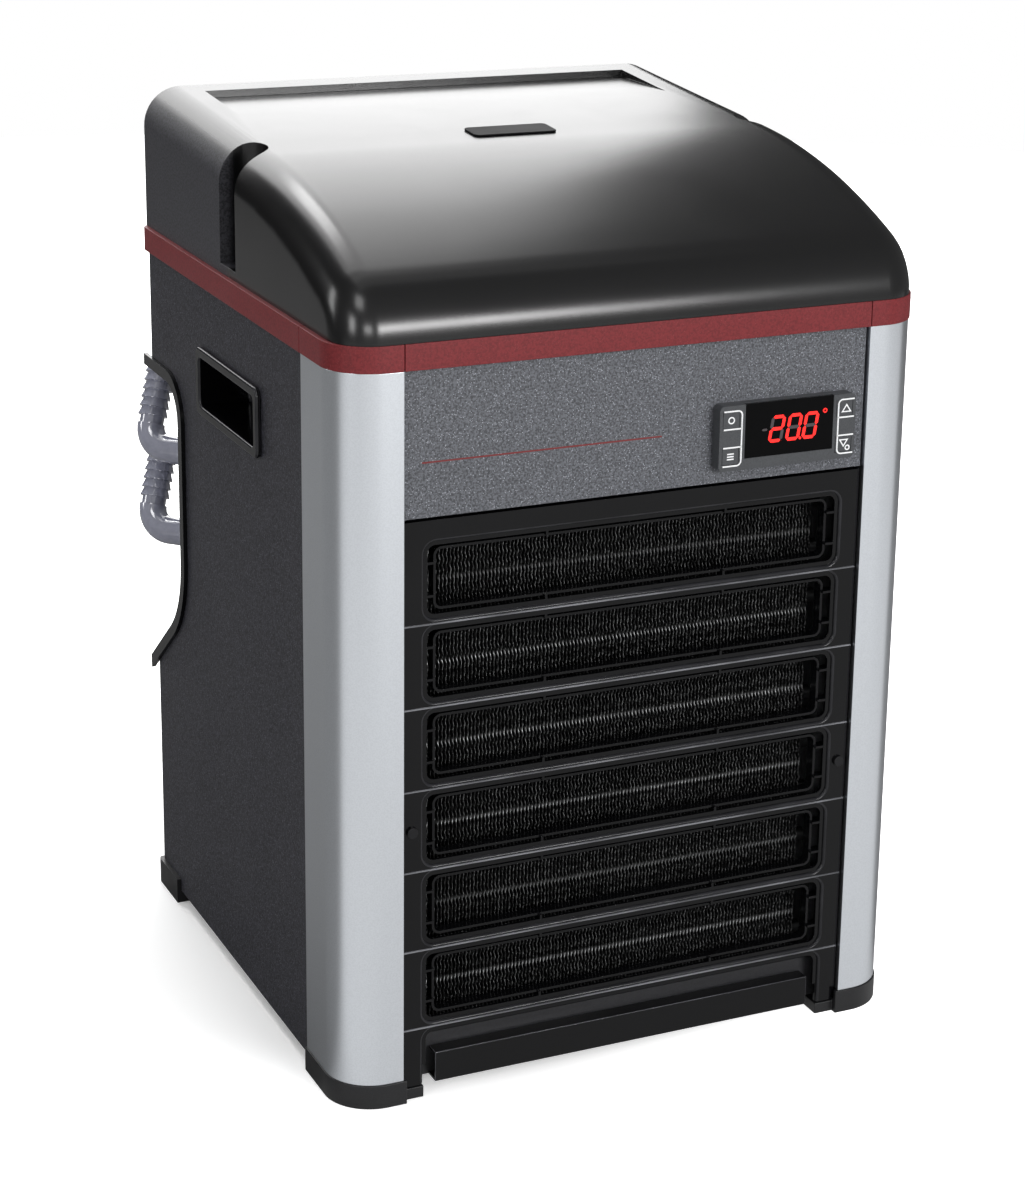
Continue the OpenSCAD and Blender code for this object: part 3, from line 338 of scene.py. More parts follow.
def roughen_sides(material):
    """The lid's sides behind the finger grooves are matt and grained, the rest is smooth."""
    tree = material.node_tree
    place = object_place(tree)
    across = math_node(tree, "ABSOLUTE", place["X"])
    matt = math_node(tree, "MULTIPLY", ramp(tree, across, LID_HALF - 9 * MM, LID_HALF - 3 * MM),
                     ramp(tree, place["Y"], GROOVE_Y - 5 * MM, GROOVE_Y + 5 * MM))
    rough = shader_of(material).inputs["Roughness"]
    tree.links.new(math_node(tree, "MULTIPLY_ADD", matt, 0.25, rough.links[0].from_socket), rough)
    grains = use_group(tree, GRAIN, Scale=900.0)
    pale = mix_colour(tree, grains.outputs["Hollows"], linear(62, 62, 68), linear(30, 30, 34))
    paint_over(material, matt, pale)


def paint_edge_highlights(material, colour):
    """Painted highlight: the rounded edges of the black mouldings get a paler colour, in patches."""
    tree = material.node_tree
    mark = tree.nodes.new("ShaderNodeAttribute")
    mark.attribute_type = "GEOMETRY"
    mark.attribute_name = ROUNDED
    sheen_patches = use_group(tree, HANDLING, Scale=40.0).outputs["Patches"]
    uneven = math_node(tree, "MULTIPLY_ADD", sheen_patches, 0.5, 0.5)
    paint_over(material, math_node(tree, "MULTIPLY", mark.outputs["Fac"], uneven), colour)


def paint_seam_highlights(material, colour):
    """Painted highlights along the grille's seams, on their lower lips, below the top opening's middle."""
    tree = material.node_tree
    place = object_place(tree)
    off = off_slot_line(tree, SLOT_TOP - SLOT_PITCH / 2 - 0.5 * MM, place["Z"])
    line = ramp(tree, off, 0.45 * MM / SLOT_PITCH, 0.2 * MM / SLOT_PITCH)
    front = ramp(tree, place["Y"], GRILLE_Y + 1.2 * MM, GRILLE_Y + 0.4 * MM)
    uneven = math_node(tree, "MULTIPLY_ADD", ramp(tree, noise(tree, 25.0, 2.0), 0.35, 0.65), 0.6, 0.4)
    line = math_node(tree, "MULTIPLY", line, ramp(tree, place["Z"], SLOT_TOP, SLOT_TOP - MM))
    line = math_node(tree, "MULTIPLY", line, front)
    paint_over(material, math_node(tree, "MULTIPLY", line, uneven), colour)


def paint_fin_glints(material, front):
    """Painted highlights on the fins' front edges: glints along lines in each opening, and in scattered
    specks.
    """
    tree = material.node_tree
    place = object_place(tree)
    lines = []
    for drop, half, level in ((4.6, 0.04, 1.0), (23.4, 0.012, 0.6)):
        line = ramp(tree, off_slot_line(tree, SLOT_TOP - drop * MM, place["Z"]), half, 0.0)
        lines.append(math_node(tree, "MULTIPLY", line, level))
    specks = ramp(tree, noise(tree, 420.0, 2.0), 0.38, 0.6)
    bright = math_node(tree, "MULTIPLY", math_node(tree, "MAXIMUM", *lines),
                       math_node(tree, "MULTIPLY_ADD", specks, 0.55, 0.45))
    scatter = math_node(tree, "MULTIPLY", ramp(tree, noise(tree, 900.0, 1.0), 0.46, 0.62), 0.2)
    edge = ramp(tree, place["Y"], front + 3.5 * MM, front + 0.6 * MM)
    metal = math_node(tree, "MAXIMUM", math_node(tree, "MULTIPLY", bright, edge), 0.3)
    tree.links.new(metal, shader_of(material).inputs["Metallic"])
    glint = math_node(tree, "MULTIPLY", math_node(tree, "MAXIMUM", bright, scatter), edge)
    # The painted glints: a near-white colour over the fins' black
    paint_over(material, glint, linear(250, 251, 252))


FINISHES = {
    "sheet_dark": finish("black_powder_coat", linear(38, 38, 41), 0.5, grain=900.0, bump=0.00004),
    "foot_plastic": finish("foot_black", linear(26, 26, 28), 0.42, gloss=0.4, grain=1300.0, bump=0.00003),
    "anodised": finish("satin_anodised", linear(220, 224, 229), 0.29, metal=1.0, grain=1500.0,
                       bump=0.000005, hollow=0.94, patches=0.0),
    "panel_paint": finish("graphite_coat", linear(52, 52, 59), 0.48, gloss=0.35, grain=850.0, bump=0.0001,
                          hollow=0.3, fleck=(1500.0, 0.14, linear(98, 98, 108)), patches=0.01),
    "fascia_paint": finish("sparkling_coat", linear(100, 102, 108), 0.45, gloss=0.4, grain=950.0, bump=0.0001,
                           hollow=0.36, fleck=(1600.0, 0.15, linear(176, 179, 188)), patches=0.01),
    "black_plastic": finish("moulded_black", linear(8, 8, 10), 0.16, gloss=0.24, grain=1600.0, bump=0.000006),
    "red_plastic": finish("burgundy_plastic", linear(122, 40, 44), 0.42, gloss=0.3, grain=900.0, bump=0.00004,
                          hollow=0.72, fleck=(2200.0, 0.06, linear(140, 66, 70)), patches=0.03),
    "lid_plastic": finish("satin_black_lid", linear(10, 10, 11), 0.23, gloss=0.48, grain=1500.0,
                          bump=0.000008, hollow=0.8, patches=0.01),
    "black_gloss": finish("badge_black", linear(9, 9, 10), 0.6, gloss=0.08, grain=1500.0, bump=0.000003),
    "screw_steel": finish("blackened_steel", linear(30, 30, 32), 0.35, metal=0.6, grain=1500.0, bump=0.00001),
    "fin_metal": finish("fin_black", linear(22, 22, 23), 0.38, metal=0.3, grain=500.0, bump=0.00004),
    "zinc_sheet": finish("zinc_plate", linear(170, 172, 174), 0.35, metal=1.0, grain=250.0, bump=0.00001,
                         hollow=0.85),
    "copper": finish("drawn_copper", linear(196, 120, 82), 0.3, metal=1.0, grain=500.0, bump=0.00001,
                     hollow=0.8),
    "cast_metal": finish("motor_enamel", linear(92, 94, 98), 0.5, grain=500.0, bump=0.00005),
    "compressor_paint": finish("compressor_enamel", linear(26, 26, 28), 0.25, grain=350.0, bump=0.00003),
    "rubber_black": finish("rubber_black", linear(28, 28, 28), 0.7, grain=700.0, bump=0.00004),
    "pvc_grey": finish("pvc_blue_grey", linear(150, 152, 168), 0.14, gloss=0.7, grain=260.0, bump=0.00003,
                       hollow=0.9, patches=0.03, coat=1.0, coat_rough=0.06),
    "titanium": finish("drawn_titanium", linear(160, 156, 150), 0.3, metal=1.0, grain=500.0, bump=0.00001),
    "bezel_plastic": finish("bezel_grey", linear(70, 72, 75), 0.4, gloss=0.4, grain=1800.0, bump=0.00002,
                            patches=0.03),
    "lens_gloss": finish("display_window", linear(3, 3, 4), 0.05, gloss=0.08, grain=300.0, bump=0.000002,
                         patches=0.02),
    "board": finish("board_green", linear(30, 90, 52), 0.4, grain=800.0, bump=0.00004),
}
roughen_sides(FINISHES["lid_plastic"])
# Painted highlights on the rounded edges of the black mouldings
paint_edge_highlights(FINISHES["black_plastic"], linear(88, 88, 93))
shader_of(FINISHES["pvc_grey"]).inputs["Coat IOR"].default_value = 1.8
SLOT_OF = {row["node"]: row["material_slot"] for row in frame["record"]["subparts"]}


def copy_finish(slot, name):
    material = FINISHES[slot].copy()
    material.name = name
    return material


# Helpers for pieces
def dress(piece, slot, body="cabinet", material=None):
    """Gives a finished piece its material, the finish of its slot unless one is passed, and its body."""
    piece.data.materials.clear()
    piece.data.materials.append(material or FINISHES[slot])
    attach(piece, body)
    return piece


def to_object(bm, name, sharp=40.0):
    """Turns a bmesh into a smooth-shaded object whose sharp edges stay sharp."""
    mesh = bpy.data.meshes.new(name)
    bm.to_mesh(mesh)
    bm.free()
    mesh.shade_smooth()
    mesh.set_sharp_from_angle(angle=math.radians(sharp))
    piece = bpy.data.objects.new(name, mesh)
    scene.collection.objects.link(piece)
    return piece


def even_normals(piece):
    """Keeps wide flat faces flat beside their rounded edges."""
    even = piece.modifiers.new("even_normals", "WEIGHTED_NORMAL")
    even.mode = "FACE_AREA"
    even.weight = 50
    even.keep_sharp = True


def sharp_edges(bm, angle=FOLD, where=None):
    limit = math.radians(angle)
    found = []
    for edge in bm.edges:
        if len(edge.link_faces) == 2 and edge.calc_face_angle() > limit:
            if where is None or where((edge.verts[0].co + edge.verts[1].co) / 2):
                found.append(edge)
    return found


def round_edges(bm, edges, width, segments=2):
    """Rounds edges, and marks the faces that it makes, so that a painted highlight can be laid there."""
    if edges:
        layer = bm.faces.layers.float.get(ROUNDED) or bm.faces.layers.float.new(ROUNDED)
        made = bmesh.ops.bevel(bm, geom=edges, offset=width, offset_type="OFFSET", segments=segments,
                               profile=0.5, affect="EDGES", clamp_overlap=True, material=-1)
        for face in made["faces"]:
            face[layer] = min(1.0, FINE_EDGE / width)


def joined_faces(mesh, flat):
    """A mesh's loose triangles as joined faces, ready for their edges to be rounded."""
    bm = bmesh.new()
    bm.from_mesh(mesh)
    bmesh.ops.remove_doubles(bm, verts=bm.verts, dist=WELD)
    bmesh.ops.dissolve_limit(bm, angle_limit=math.radians(flat), verts=bm.verts, edges=bm.edges)
    return bm


def eased(node, width, first=None):
    """A copy of a CAD node with its edges rounded, which stands for it.
    first is (where, width, segments) for edges that get a wider rounding."""
    bm = joined_faces(frame["nodes"][node].data, 0.6)
    if first:
        where, wide, steps = first
        round_edges(bm, sharp_edges(bm, where=where), wide, steps)
        round_edges(bm, sharp_edges(bm, where=lambda p: not where(p)), width)
    else:
        round_edges(bm, sharp_edges(bm), width)
    piece = to_object(bm, node + "_eased")
    even_normals(piece)
    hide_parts(node)
    return dress(piece, SLOT_OF[node], frame["nodes"][node]["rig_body"])


def draw_out(bm, faces, way, keep=False):
    """Extrudes faces along a way. With keep, the faces stay and close the form behind."""
    grown = bmesh.ops.extrude_face_region(bm, geom=faces, use_keep_orig=keep)
    moved = [v for v in grown["geom"] if isinstance(v, bmesh.types.BMVert)]
    bmesh.ops.translate(bm, verts=moved, vec=way)


def cut_away(piece, cutters):
    """Cuts the cutters out of a piece, and deletes them."""
    bpy.context.view_layer.objects.active = piece
    for cutter in cutters:
        cut = piece.modifiers.new("cut", "BOOLEAN")
        cut.operation = "DIFFERENCE"
        cut.solver = "EXACT"
        cut.object = cutter
        with bpy.context.temp_override(object=piece, active_object=piece, selected_objects=[piece]):
            bpy.ops.object.modifier_apply(modifier=cut.name)
        bpy.data.objects.remove(cutter)


def box_bmesh(low, high):
    bm = bmesh.new()
    bmesh.ops.create_cube(bm, size=1.0)
    low, high = Vector(low), Vector(high)
    bmesh.ops.scale(bm, verts=bm.verts, vec=high - low)
    bmesh.ops.translate(bm, verts=bm.verts, vec=(low + high) / 2)
    return bm


# Camera, lights and floor
def set_camera():
    """The photograph's angle: 1025 by 1196 with the long side on the sensor."""
    long_side, centre_x, centre_y = 1196, 512.5, 598
    axis_x, axis_y = 565, 480
    focal, sensor = 2808.5, 36
    azimuth, elevation, roll = map(math.radians, (-25.313, 16.647, 1.042))
    distance = 1469.5 * MM
    target = Vector((28.91, 0, 256.79)) * MM
    back = Vector((math.sin(azimuth) * math.cos(elevation), -math.cos(azimuth) * math.cos(elevation),
                   math.sin(elevation)))
    right = (-back).cross(Vector((0, 0, 1))).normalized()
    up = right.cross(-back)
    across = right * math.cos(roll) + up * math.sin(roll)
    upward = -right * math.sin(roll) + up * math.cos(roll)
    data = bpy.data.cameras.new("camera")
    data.sensor_width = sensor
    data.lens = focal / long_side * sensor
    data.shift_x = (centre_x - axis_x) / long_side
    data.shift_y = (axis_y - centre_y) / long_side
    data.clip_start, data.clip_end = 0.05, 50
    camera = bpy.data.objects.new("camera", data)
    turn = Matrix((across, upward, back)).transposed().to_4x4()
    camera.matrix_world = Matrix.Translation(target + back * distance) @ turn
    scene.collection.objects.link(camera)
    scene.camera = camera


def softbox(name, place, aim, size, power):
    """A softbox at a place, turned to its aim, in metres and watts."""
    data = bpy.data.lights.new(name, "AREA")
    data.shape = "RECTANGLE"
    data.size, data.size_y = size
    data.energy = power
    lamp = bpy.data.objects.new(name, data)
    lamp.location = place
    lamp.rotation_euler = (Vector(aim) - Vector(place)).to_track_quat("-Z", "Y").to_euler()
    scene.collection.objects.link(lamp)
    return lamp


def rear_softbox(low, high, turn, bright):
    """A softbox behind the lid, between two heights of the view from it, of an even brightness."""
    centre = Vector((0, 0.05, 0.42))
    middle, far, wide = (low + high) / 2, 2.2, 1.9
    away = Vector((math.sin(turn) * math.cos(middle), math.cos(turn) * math.cos(middle), math.sin(middle)))
    tall = 2 * far * math.tan((high - low) / 2)
    softbox("rear", centre + away * far, centre, (wide, tall), bright * math.pi * wide * tall)


def seen_rays(tree):
    """What kind of ray it is, and 1 where it comes from the camera, also through glass."""
    rays = tree.nodes.new("ShaderNodeLightPath").outputs
    return rays, math_node(tree, "MAXIMUM", rays["Is Camera Ray"], rays["Is Transmission Ray"])


def set_sky():
    """White behind the object, and dimmer towards the rear for what it lights."""
    world = bpy.data.worlds.new("studio")
    scene.world = world
    world.use_nodes = True
    tree = world.node_tree
    sky = tree.nodes["Background"]
    parts = tree.nodes.new("ShaderNodeSeparateXYZ")
    tree.links.new(tree.nodes.new("ShaderNodeTexCoord").outputs["Generated"], parts.inputs["Vector"])
    level = math_node(tree, "MULTIPLY_ADD", parts.outputs["Y"], -0.26, 0.27)
    tree.links.new(math_node(tree, "MAXIMUM", level, seen_rays(tree)[1]), sky.inputs["Strength"])
    sky.inputs["Color"].default_value = (1, 1, 1, 1)


def set_lights():
    softbox("key", (1.4, -2.1, 1.6), (0, 0, 0.2), (1.4, 1.0), 16).visible_glossy = False
    softbox("left_rear", (-1.9, 0.95, 1.0), (0, 0.15, 0.25), (0.45, 0.9), 7)
    softbox("top_rear", (-0.15, 1.2, 1.9), (0, 0.15, 0.3), (0.6, 0.6), 8)
    softbox("left", (-2.3, -1.25, 0.95), (0, 0, 0.35), (0.6, 0.8), 13)
    softbox("front_strip", (0.58, -2.4, 0.83), (0, 0, 0.38), (0.92, 0.36), 29)
    softbox("corner_strip", (-0.95, -2.3, 0.83), (0, 0, 0.38), (0.8, 0.36), 10).visible_diffuse = False
    softbox("corner_top", (-1.2, -1.16, 2.03), (-0.14, -0.14, 0.4), (0.7, 0.7), 8).visible_diffuse = False
    for low, high, turn, bright in REAR_BANDS:
        rear_softbox(math.radians(low), math.radians(high), math.radians(turn), bright)
    set_sky()


def floor_glow(tree, rays, seen):
    """White to the camera but for a soft painted shade around a point under the cabinet, and lit ahead of the
    cabinet for glossy pieces.
    """
    point = tree.nodes.new("ShaderNodeTexCoord").outputs["Object"]
    place = object_place(tree)
    length = tree.nodes.new("ShaderNodeVectorMath")
    length.operation = "LENGTH"
    tree.links.new(point, length.inputs[0])
    back = math_node(tree, "MULTIPLY", place["Y"], -1.0)
    ahead = math_node(tree, "DIVIDE", math_node(tree, "MULTIPLY_ADD", place["X"], 0.1, back),
                      length.outputs["Value"])
    lit = math_node(tree, "MULTIPLY", rays["Is Glossy Ray"], ramp(tree, ahead, -0.3, 0.2))
    lit = math_node(tree, "MULTIPLY", lit, ramp(tree, back, 0.1, 0.16))
    # Painted shade: the camera's glow dims near a point under the cabinet, whatever the lamps do
    shade = tree.nodes.new("ShaderNodeVectorMath")
    shade.operation = "DISTANCE"
    tree.links.new(point, shade.inputs[0])
    shade.inputs[1].default_value = SHADE_AT
    clear = ramp(tree, shade.outputs["Value"], SHADE_NEAR, SHADE_FAR)
    edge = math_node(tree, "MULTIPLY_ADD", clear, 1 - SHADE_LEAST, SHADE_LEAST)
    return math_node(tree, "MAXIMUM", math_node(tree, "MULTIPLY", seen, edge),
                     math_node(tree, "MULTIPLY", lit, 0.56))


def make_floor():
    bm = bmesh.new()
    bmesh.ops.create_circle(bm, cap_ends=True, radius=FLOOR_R, segments=96)
    floor = to_object(bm, "floor")
    material = bpy.data.materials.new("floor_white")
    material.use_nodes = True
    tree = material.node_tree
    shader = shader_of(material)
    shader.inputs["Roughness"].default_value = 0.9
    shader.inputs["Specular IOR Level"].default_value = 0.0
    rays, seen = seen_rays(tree)
    bounced = mix_colour(tree, rays["Is Glossy Ray"], grey(FLOOR_BOUNCED), grey(FLOOR_GLOSSY))
    tree.links.new(mix_colour(tree, seen, bounced, grey(FLOOR_SEEN)), shader.inputs["Base Color"])
    glow = tree.nodes.new("ShaderNodeEmission")
    tree.links.new(floor_glow(tree, rays, seen), glow.inputs["Strength"])
    both = tree.nodes.new("ShaderNodeAddShader")
    tree.links.new(shader.outputs["BSDF"], both.inputs[0])
    tree.links.new(glow.outputs["Emission"], both.inputs[1])
    tree.links.new(both.outputs[0], tree.nodes["Material Output"].inputs["Surface"])
    floor.data.materials.append(material)


# Lid
def side_profile(inset):
    """Side view of the lid from its rear foot, over the slope, the bow and the nose, to its front foot."""
    cos_s, sin_s = math.cos(LID_SLOPE), math.sin(LID_SLOPE)
    nose = Vector((LID_FRONT + NOSE_R, BAND_TOP))
    top = Vector((LID_REAR, LID_TOP))
    up = Vector((-sin_s, cos_s))
    along = Vector((cos_s, sin_s))
    bow_up = top.dot(up) - BOW_R
    bow_along = nose.dot(along) + math.sqrt((BOW_R - NOSE_R) ** 2 - (bow_up - nose.dot(up)) ** 2)
    bow = along * bow_along + up * bow_up
    start = math.pi / 2 + LID_SLOPE
    turn = math.pi - math.atan2(nose.y - bow.y, bow.x - nose.x)
    rear_y = LID_REAR - inset
    points = [Vector((rear_y, BAND_TOP)),
              Vector((rear_y, LID_TOP - inset / cos_s - inset * math.tan(LID_SLOPE)))]
    bow_steps, nose_steps = 26, 16
    for k in range(bow_steps + 1):
        a = start + (turn - start) * k / bow_steps
        points.append(bow + Vector((math.cos(a), math.sin(a))) * (BOW_R - inset))
    for k in range(1, nose_steps + 1):
        a = turn + (math.pi - turn) * k / nose_steps
        points.append(nose + Vector((math.cos(a), math.sin(a))) * (NOSE_R - inset))
    return points


def lid_form(inset, name):
    """The lid's outline drawn across its width, with its side edges rounded."""
    half = LID_HALF - inset
    bm = bmesh.new()
    face = bm.faces.new([bm.verts.new((-half, p.x, p.y)) for p in side_profile(inset)])
    draw_out(bm, [face], (2 * half, 0, 0))
    bmesh.ops.recalc_face_normals(bm, faces=bm.faces)
    rims = []
    for edge in bm.edges:
        a, b = edge.verts[0].co, edge.verts[1].co
        same_side = abs(a.x - b.x) < 1e-7
        at_rear = min(a.y, b.y) > LID_REAR - inset - TOUCH
        if same_side and not at_rear and max(a.z, b.z) > LID_FOOT:
            rims.append(edge)
    round_edges(bm, rims, LID_EDGE - inset, 12)
    return to_object(bm, name)


def recess_cutter(grow):
    """The room of the tray at the rear of the lid's top."""
    floor = LID_TOP - (LID_REAR - RECESS_REAR) * math.tan(LID_SLOPE) - RECESS_DEEP
    front = RECESS_REAR - RECESS_DEEP / math.tan(LID_SLOPE) - MM
    return to_object(box_bmesh((-RECESS_HALF - grow, front - grow, floor - grow),
                               (RECESS_HALF + grow, RECESS_REAR + grow, LID_TOP + LID_OVERRUN)),
                     "recess_cutter")


def groove_cutter(side, grow):
    """The room of one finger groove: round inwards, and open to the lid's side."""
    radius = GROOVE_R + grow
    bm = bmesh.new()
    bmesh.ops.create_circle(bm, cap_ends=True, radius=radius, segments=48)
    for v in bm.verts:
        if v.co.x * side > radius * 0.02:
            v.co.y = math.copysign(radius, v.co.y) if abs(v.co.y) > TOUCH else 0
            v.co.x = side * (LID_HALF - GROOVE_X + 5 * MM)
    draw_out(bm, list(bm.faces), (0, 0, LID_TOP - GROOVE_Z + grow + LID_OVERRUN))
    bmesh.ops.remove_doubles(bm, verts=bm.verts, dist=TOUCH)
    bmesh.ops.recalc_face_normals(bm, faces=bm.faces)
    bmesh.ops.translate(bm, verts=bm.verts, vec=(side * GROOVE_X, GROOVE_Y, GROOVE_Z - grow))
    return to_object(bm, "groove_cutter")


def make_lid():
    """The lid as a shell: its outer form less a hollow, the tray and the grooves."""
    hollow = lid_form(LID_WALL, "hollow")
    for v in hollow.data.vertices:
        if v.co.z < LID_FOOT:
            v.co.z -= MM
    cut_away(hollow, [recess_cutter(LID_WALL), groove_cutter(-1, LID_WALL), groove_cutter(1, LID_WALL)])
    shell = lid_form(0, "lid_shell")
    cut_away(shell, [hollow, recess_cutter(0), groove_cutter(-1, 0), groove_cutter(1, 0)])
    bm = joined_faces(shell.data, 0.3)
    round_edges(bm, sharp_edges(bm, 38), 0.5 * MM)
    bpy.data.objects.remove(shell)
    lid = to_object(bm, "lid_moulding", 50)
    even_normals(lid)
    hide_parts("lid")
    dress(lid, "lid_plastic")


# Condenser face and grille
def one_fin(size):
    """One fin that curls to and fro from step to step, with a ragged front edge."""
    bm = bmesh.new()
    bmesh.ops.create_grid(bm, x_segments=2, y_segments=FIN_STEPS, size=0.5)
    for axis in ("X", "Z"):
        bmesh.ops.rotate(bm, verts=bm.verts, cent=(0, 0, 0), matrix=Matrix.Rotation(math.pi / 2, 3, axis))
    bmesh.ops.scale(bm, verts=bm.verts, vec=(1, size.y, size.z))
    for v in bm.verts:
        step = round((v.co.z / size.z + 0.5) * FIN_STEPS)
        v.co.x = FIN_CURL if step % 2 else -FIN_CURL
        if v.co.y < -size.y * 0.4:
            v.co.y += FIN_CURL * (step % 3)
    return bm


def make_fins():
    """Black corrugated fins, closer set than the solids show them."""
    low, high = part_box("condenser_fins")
    size = high - low
    bm = one_fin(size)
    bmesh.ops.translate(bm, verts=bm.verts, vec=(0, (low.y + high.y) / 2, (low.z + high.z) / 2))
    mesh = bpy.data.meshes.new("fin")
    bm.to_mesh(mesh)
    bm.free()
    full = bmesh.new()
    for k in range(int((size.x - FIN_PITCH) / FIN_PITCH)):
        part = bmesh.new()
        part.from_mesh(mesh)
        across = low.x + FIN_PITCH * (k + 0.5) + FIN_SHIFT
        bmesh.ops.translate(part, verts=part.verts, vec=(across, 0, 0))
        placed = bpy.data.meshes.new("placed_fin")
        part.to_mesh(placed)
        part.free()
        full.from_mesh(placed)
        bpy.data.meshes.remove(placed)
    fins = to_object(full, "condenser_fins_close", 20)
    fins.data.shade_flat()
    wall = fins.modifiers.new("wall", "SOLIDIFY")
    wall.thickness = FIN_THICK
    wall.offset = 0
    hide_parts("condenser_fins")
    material = copy_finish("fin_metal", "fin_black_painted_glints")
    # Painted glints on the fins
    paint_fin_glints(material, low.y)
    dress(fins, "fin_metal", material=material)


def slot_rim(p):
    """Tells the front edges around the grille's openings from its other edges."""
    if p.y > GRILLE_Y + RIM_FRONT or abs(p.x) > RIM_SIDE:
        return False
    for k in range(SLOTS):
        off = abs(p.z - (SLOT_TOP - k * SLOT_PITCH))
        if abs(off - RIM_HALF) < RIM_NEAR or abs(p.x) > RIM_END and off < RIM_TALL:
            return True
    return False


def make_grille():
    grille = eased("grille_frame", 0.3 * MM, first=(slot_rim, 1.6 * MM, 4))
    seam_highlit = copy_finish("black_plastic", "moulded_black_seam_highlights")
    # A pale painted highlight line along the grille's seams
    paint_seam_highlights(seam_highlit, linear(140, 141, 146))
    grille.data.materials[0] = seam_highlit


# Printed lines and digits
def plain_colour(name, colour, glow=0.0):
    material = finish(name, colour, 0.4, grain=2500.0, bump=0.000002, hollow=0.92)
    if glow:
        shader_of(material).inputs["Emission Color"].default_value = colour
        shader_of(material).inputs["Emission Strength"].default_value = glow
    return material


def draw_stroke(bm, line, half):
    """Draws one line as a flat ribbon, closed where its ends meet."""
    points = [Vector(p) for p in line]
    closed = (points[0] - points[-1]).length < TOUCH
    if closed:
        points.pop()
    count = len(points)
    sides = []
    for k, p in enumerate(points):
        before = points[k - 1] if k or closed else p
        after = points[(k + 1) % count] if k + 1 < count or closed else p
        a = (p - before).normalized() if (p - before).length else None
        b = (after - p).normalized() if (after - p).length else None
        way = (a + b).normalized() if a and b and (a + b).length > TOUCH else (a or b)
        stretch = 1 / max(0.5, way.dot(a or b))
        side = Vector((-way.y, way.x)) * half * stretch
        sides.append([bm.verts.new((q.x * MM, 0, q.y * MM)) for q in (p + side, p - side)])
    for k in range(count if closed else count - 1):
        a, b = sides[k], sides[(k + 1) % count]
        bm.faces.new((a[0], a[1], b[1], b[0]))


def raise_print(bm, rise):
    """Gives flat printing its thickness, towards the front."""
    draw_out(bm, list(bm.faces), (0, -rise, 0), keep=True)
    bmesh.ops.recalc_face_normals(bm, faces=bm.faces)


def printed(name, lines, width, origin, slot, material):
    """Flat printed lines in a plane that faces the front. Points are (across, up) in mm from the origin."""
    bm = bmesh.new()
    for line in lines:
        draw_stroke(bm, line, width / 2)
    bmesh.ops.translate(bm, verts=bm.verts, vec=origin)
    bmesh.ops.recalc_face_normals(bm, faces=bm.faces)
    for face in bm.faces:
        if face.normal.y > 0:
            face.normal_flip()
    raise_print(bm, PRINT_RISE)
    return dress(to_object(bm, name), slot, material=material)


def arc(cx, cy, r, start, end, steps=5):
    return [(cx + r * math.cos(math.radians(start + (end - start) * k / steps)),
             cy + r * math.sin(math.radians(start + (end - start) * k / steps))) for k in range(steps + 1)]


def ring(cx, cy, r, steps=12):
    return arc(cx, cy, r, 0, 360, steps)


def digit_bar(a, b, thick):
    """One bar of a seven-bar digit, with pointed ends."""
    a, b = Vector(a), Vector(b)
    way = (b - a).normalized()
    side = Vector((-way.y, way.x)) * thick / 2
    a, b = a + way * 0.12, b - way * 0.12
    tip = way * thick / 2
    return [a, a + tip + side, b - tip + side, b, b - tip - side, a + tip - side]


def add_bar(bm, ends, thick, lean=0.0):
    corners = [(q.x + lean * (q.y - DIGIT_BASE), q.y) for q in digit_bar(*ends, thick)]
    bm.faces.new([bm.verts.new((across * MM, 0, up * MM)) for across, up in corners])


def make_digits(name, material, lit, origin):
    """The bars of the digits that are lit, or those that are not, with the dark minus bar."""
    bm = bmesh.new()
    for bars, x in DIGITS:
        for key, ends in BARS.items():
            if (key in bars) == lit:
                placed = [(x + p[0] * DIGIT_WIDE, DIGIT_BASE + p[1] * DIGIT_TALL) for p in ends]
                add_bar(bm, placed, DIGIT_BAR, DIGIT_LEAN)
    if not lit:
        add_bar(bm, MINUS, MINUS_BAR)
    raise_print(bm, DIGIT_RISE)
    bmesh.ops.translate(bm, verts=bm.verts, vec=origin)
    dress(to_object(bm, name), "lens_gloss", material=material)


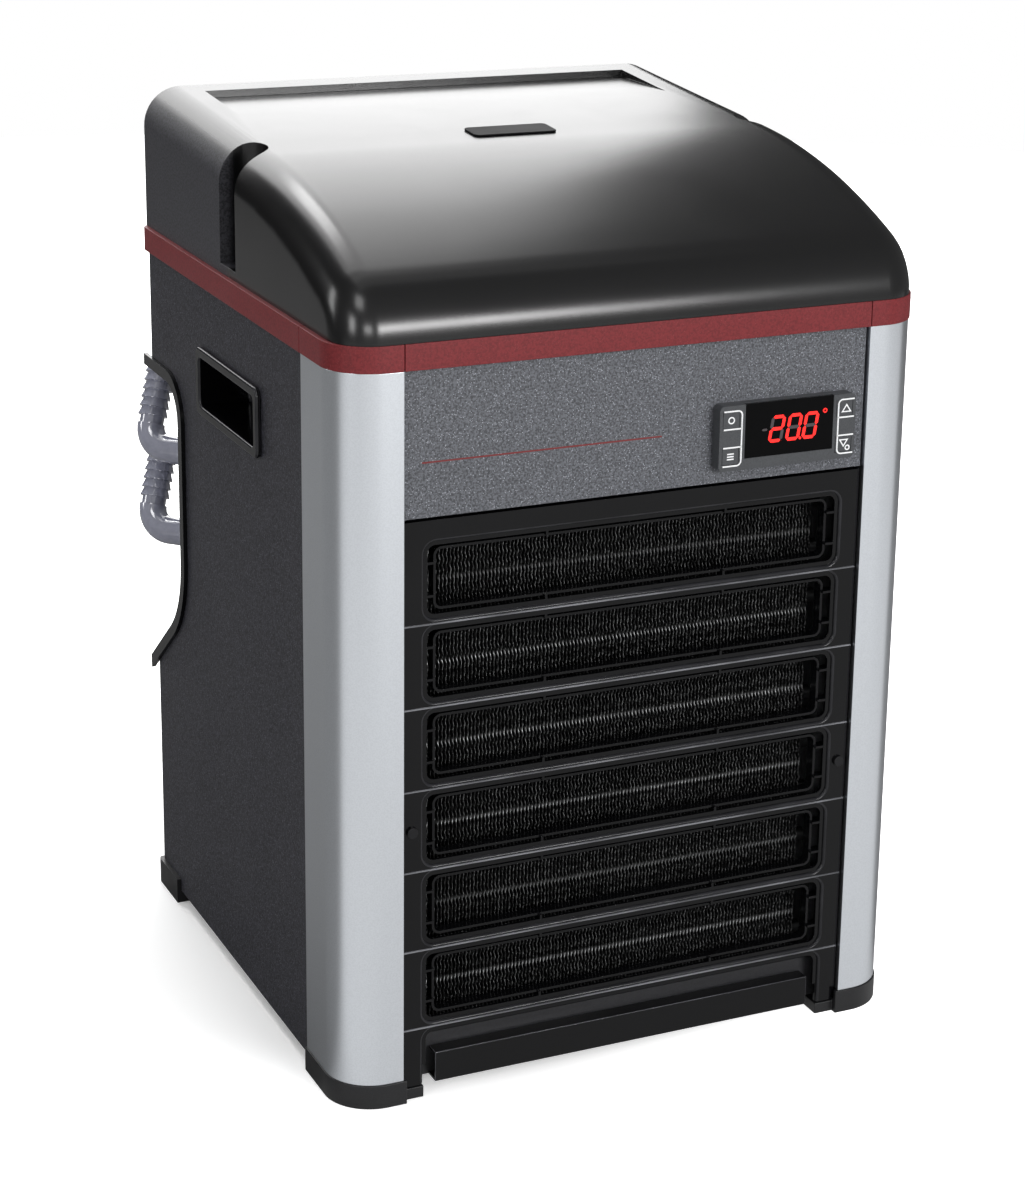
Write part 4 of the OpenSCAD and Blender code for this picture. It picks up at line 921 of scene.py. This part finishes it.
def make_key_brackets(origin, material):
    """The white brackets that frame the keys on both sides of the display."""
    left, left_end, right, right_end = -25.1, -34.8, 27.5, 36.2
    top, upper, lower, low = 13.3, 4.5, -4.5, -13.6
    r = 2.2
    lines = [[(left_end, top)] + arc(left - r, top - r, r, 90, 0) + [(left, low + r)]
             + arc(left - r, low + r, r, 0, -90) + [(left_end, low)],
             [(left_end, upper), (left, upper)], [(left_end, lower), (left, lower)],
             [(right_end, top)] + arc(right + r, top - r, r, 90, 180) + [(right, low + r)]
             + arc(right + r, low + r, r, 180, 270) + [(right_end, low)],
             [(right_end, upper), (right, upper)], [(right_end, lower), (right, lower)]]
    printed("key_brackets", lines, 0.75, origin, "bezel_plastic", material)


def make_key_marks(origin, material):
    """A plain mark on each key: arrows, a ring, and three bars."""
    up = [(31.9, 10.6), (29.6, 7.2), (34.2, 7.2), (31.9, 10.6)]
    down = [(31.0, -10.0), (28.9, -6.8), (33.1, -6.8), (31.0, -10.0)]
    bars = [[(-32.6, height), (-29.0, height)] for height in (-8.9, -7.6, -10.2)]
    for name, body, marks in (("mark_up", "up_key", [up]),
                              ("mark_down", "down_key", [down, ring(33.2, -10.9, 1.1)]),
                              ("mark_aux", "aux_key", [ring(-30.8, 8.9, 1.5, 16)]),
                              ("mark_set", "set_key", bars)):
        mark = printed(name, marks, 0.65, origin, "bezel_plastic", material)
        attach(mark, body)


def make_display():
    lit = plain_colour("digit_red", linear(255, 30, 24), 1.0)
    unlit = plain_colour("digit_unlit", linear(66, 58, 61))
    white = plain_colour("print_white", linear(244, 245, 246))
    lens, bezel, keys = (Vector((CONTROL_X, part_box(node)[0].y, CONTROL_Z))
                         for node in ("controller_lens", "controller_bezel", "key_up"))
    make_digits("digits_lit", lit, True, lens)
    make_digits("digits_unlit", unlit, False, lens)
    printed("unit_mark", [ring(20.2, 8.8, 0.9)], 0.6, lens, "lens_gloss", lit)
    printed("point_mark", [ring(6.9, DIGIT_BASE, 0.35, 8)], 0.7, lens, "lens_gloss", lit)
    make_key_brackets(bezel, white)
    make_key_marks(keys, white)


def make_stripe():
    left, right, height, width = -111, 10.5, 320.4, 0.8
    face = Vector((0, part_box("fascia_panel")[0].y, 0))
    red = plain_colour("stripe_red", linear(112, 24, 28))
    printed("fascia_stripe", [[(left, height), (right, height)]], width, face, "fascia_paint", red)


# Everything in its place
set_camera()
set_lights()
make_floor()
for name, node in frame["nodes"].items():
    node.data.materials.clear()
    node.data.materials.append(FINISHES[SLOT_OF[name]])
make_lid()
make_fins()
make_grille()
for width, nodes in ROUNDINGS:
    for node in nodes:
        eased(node, width * MM)
make_display()
make_stripe()
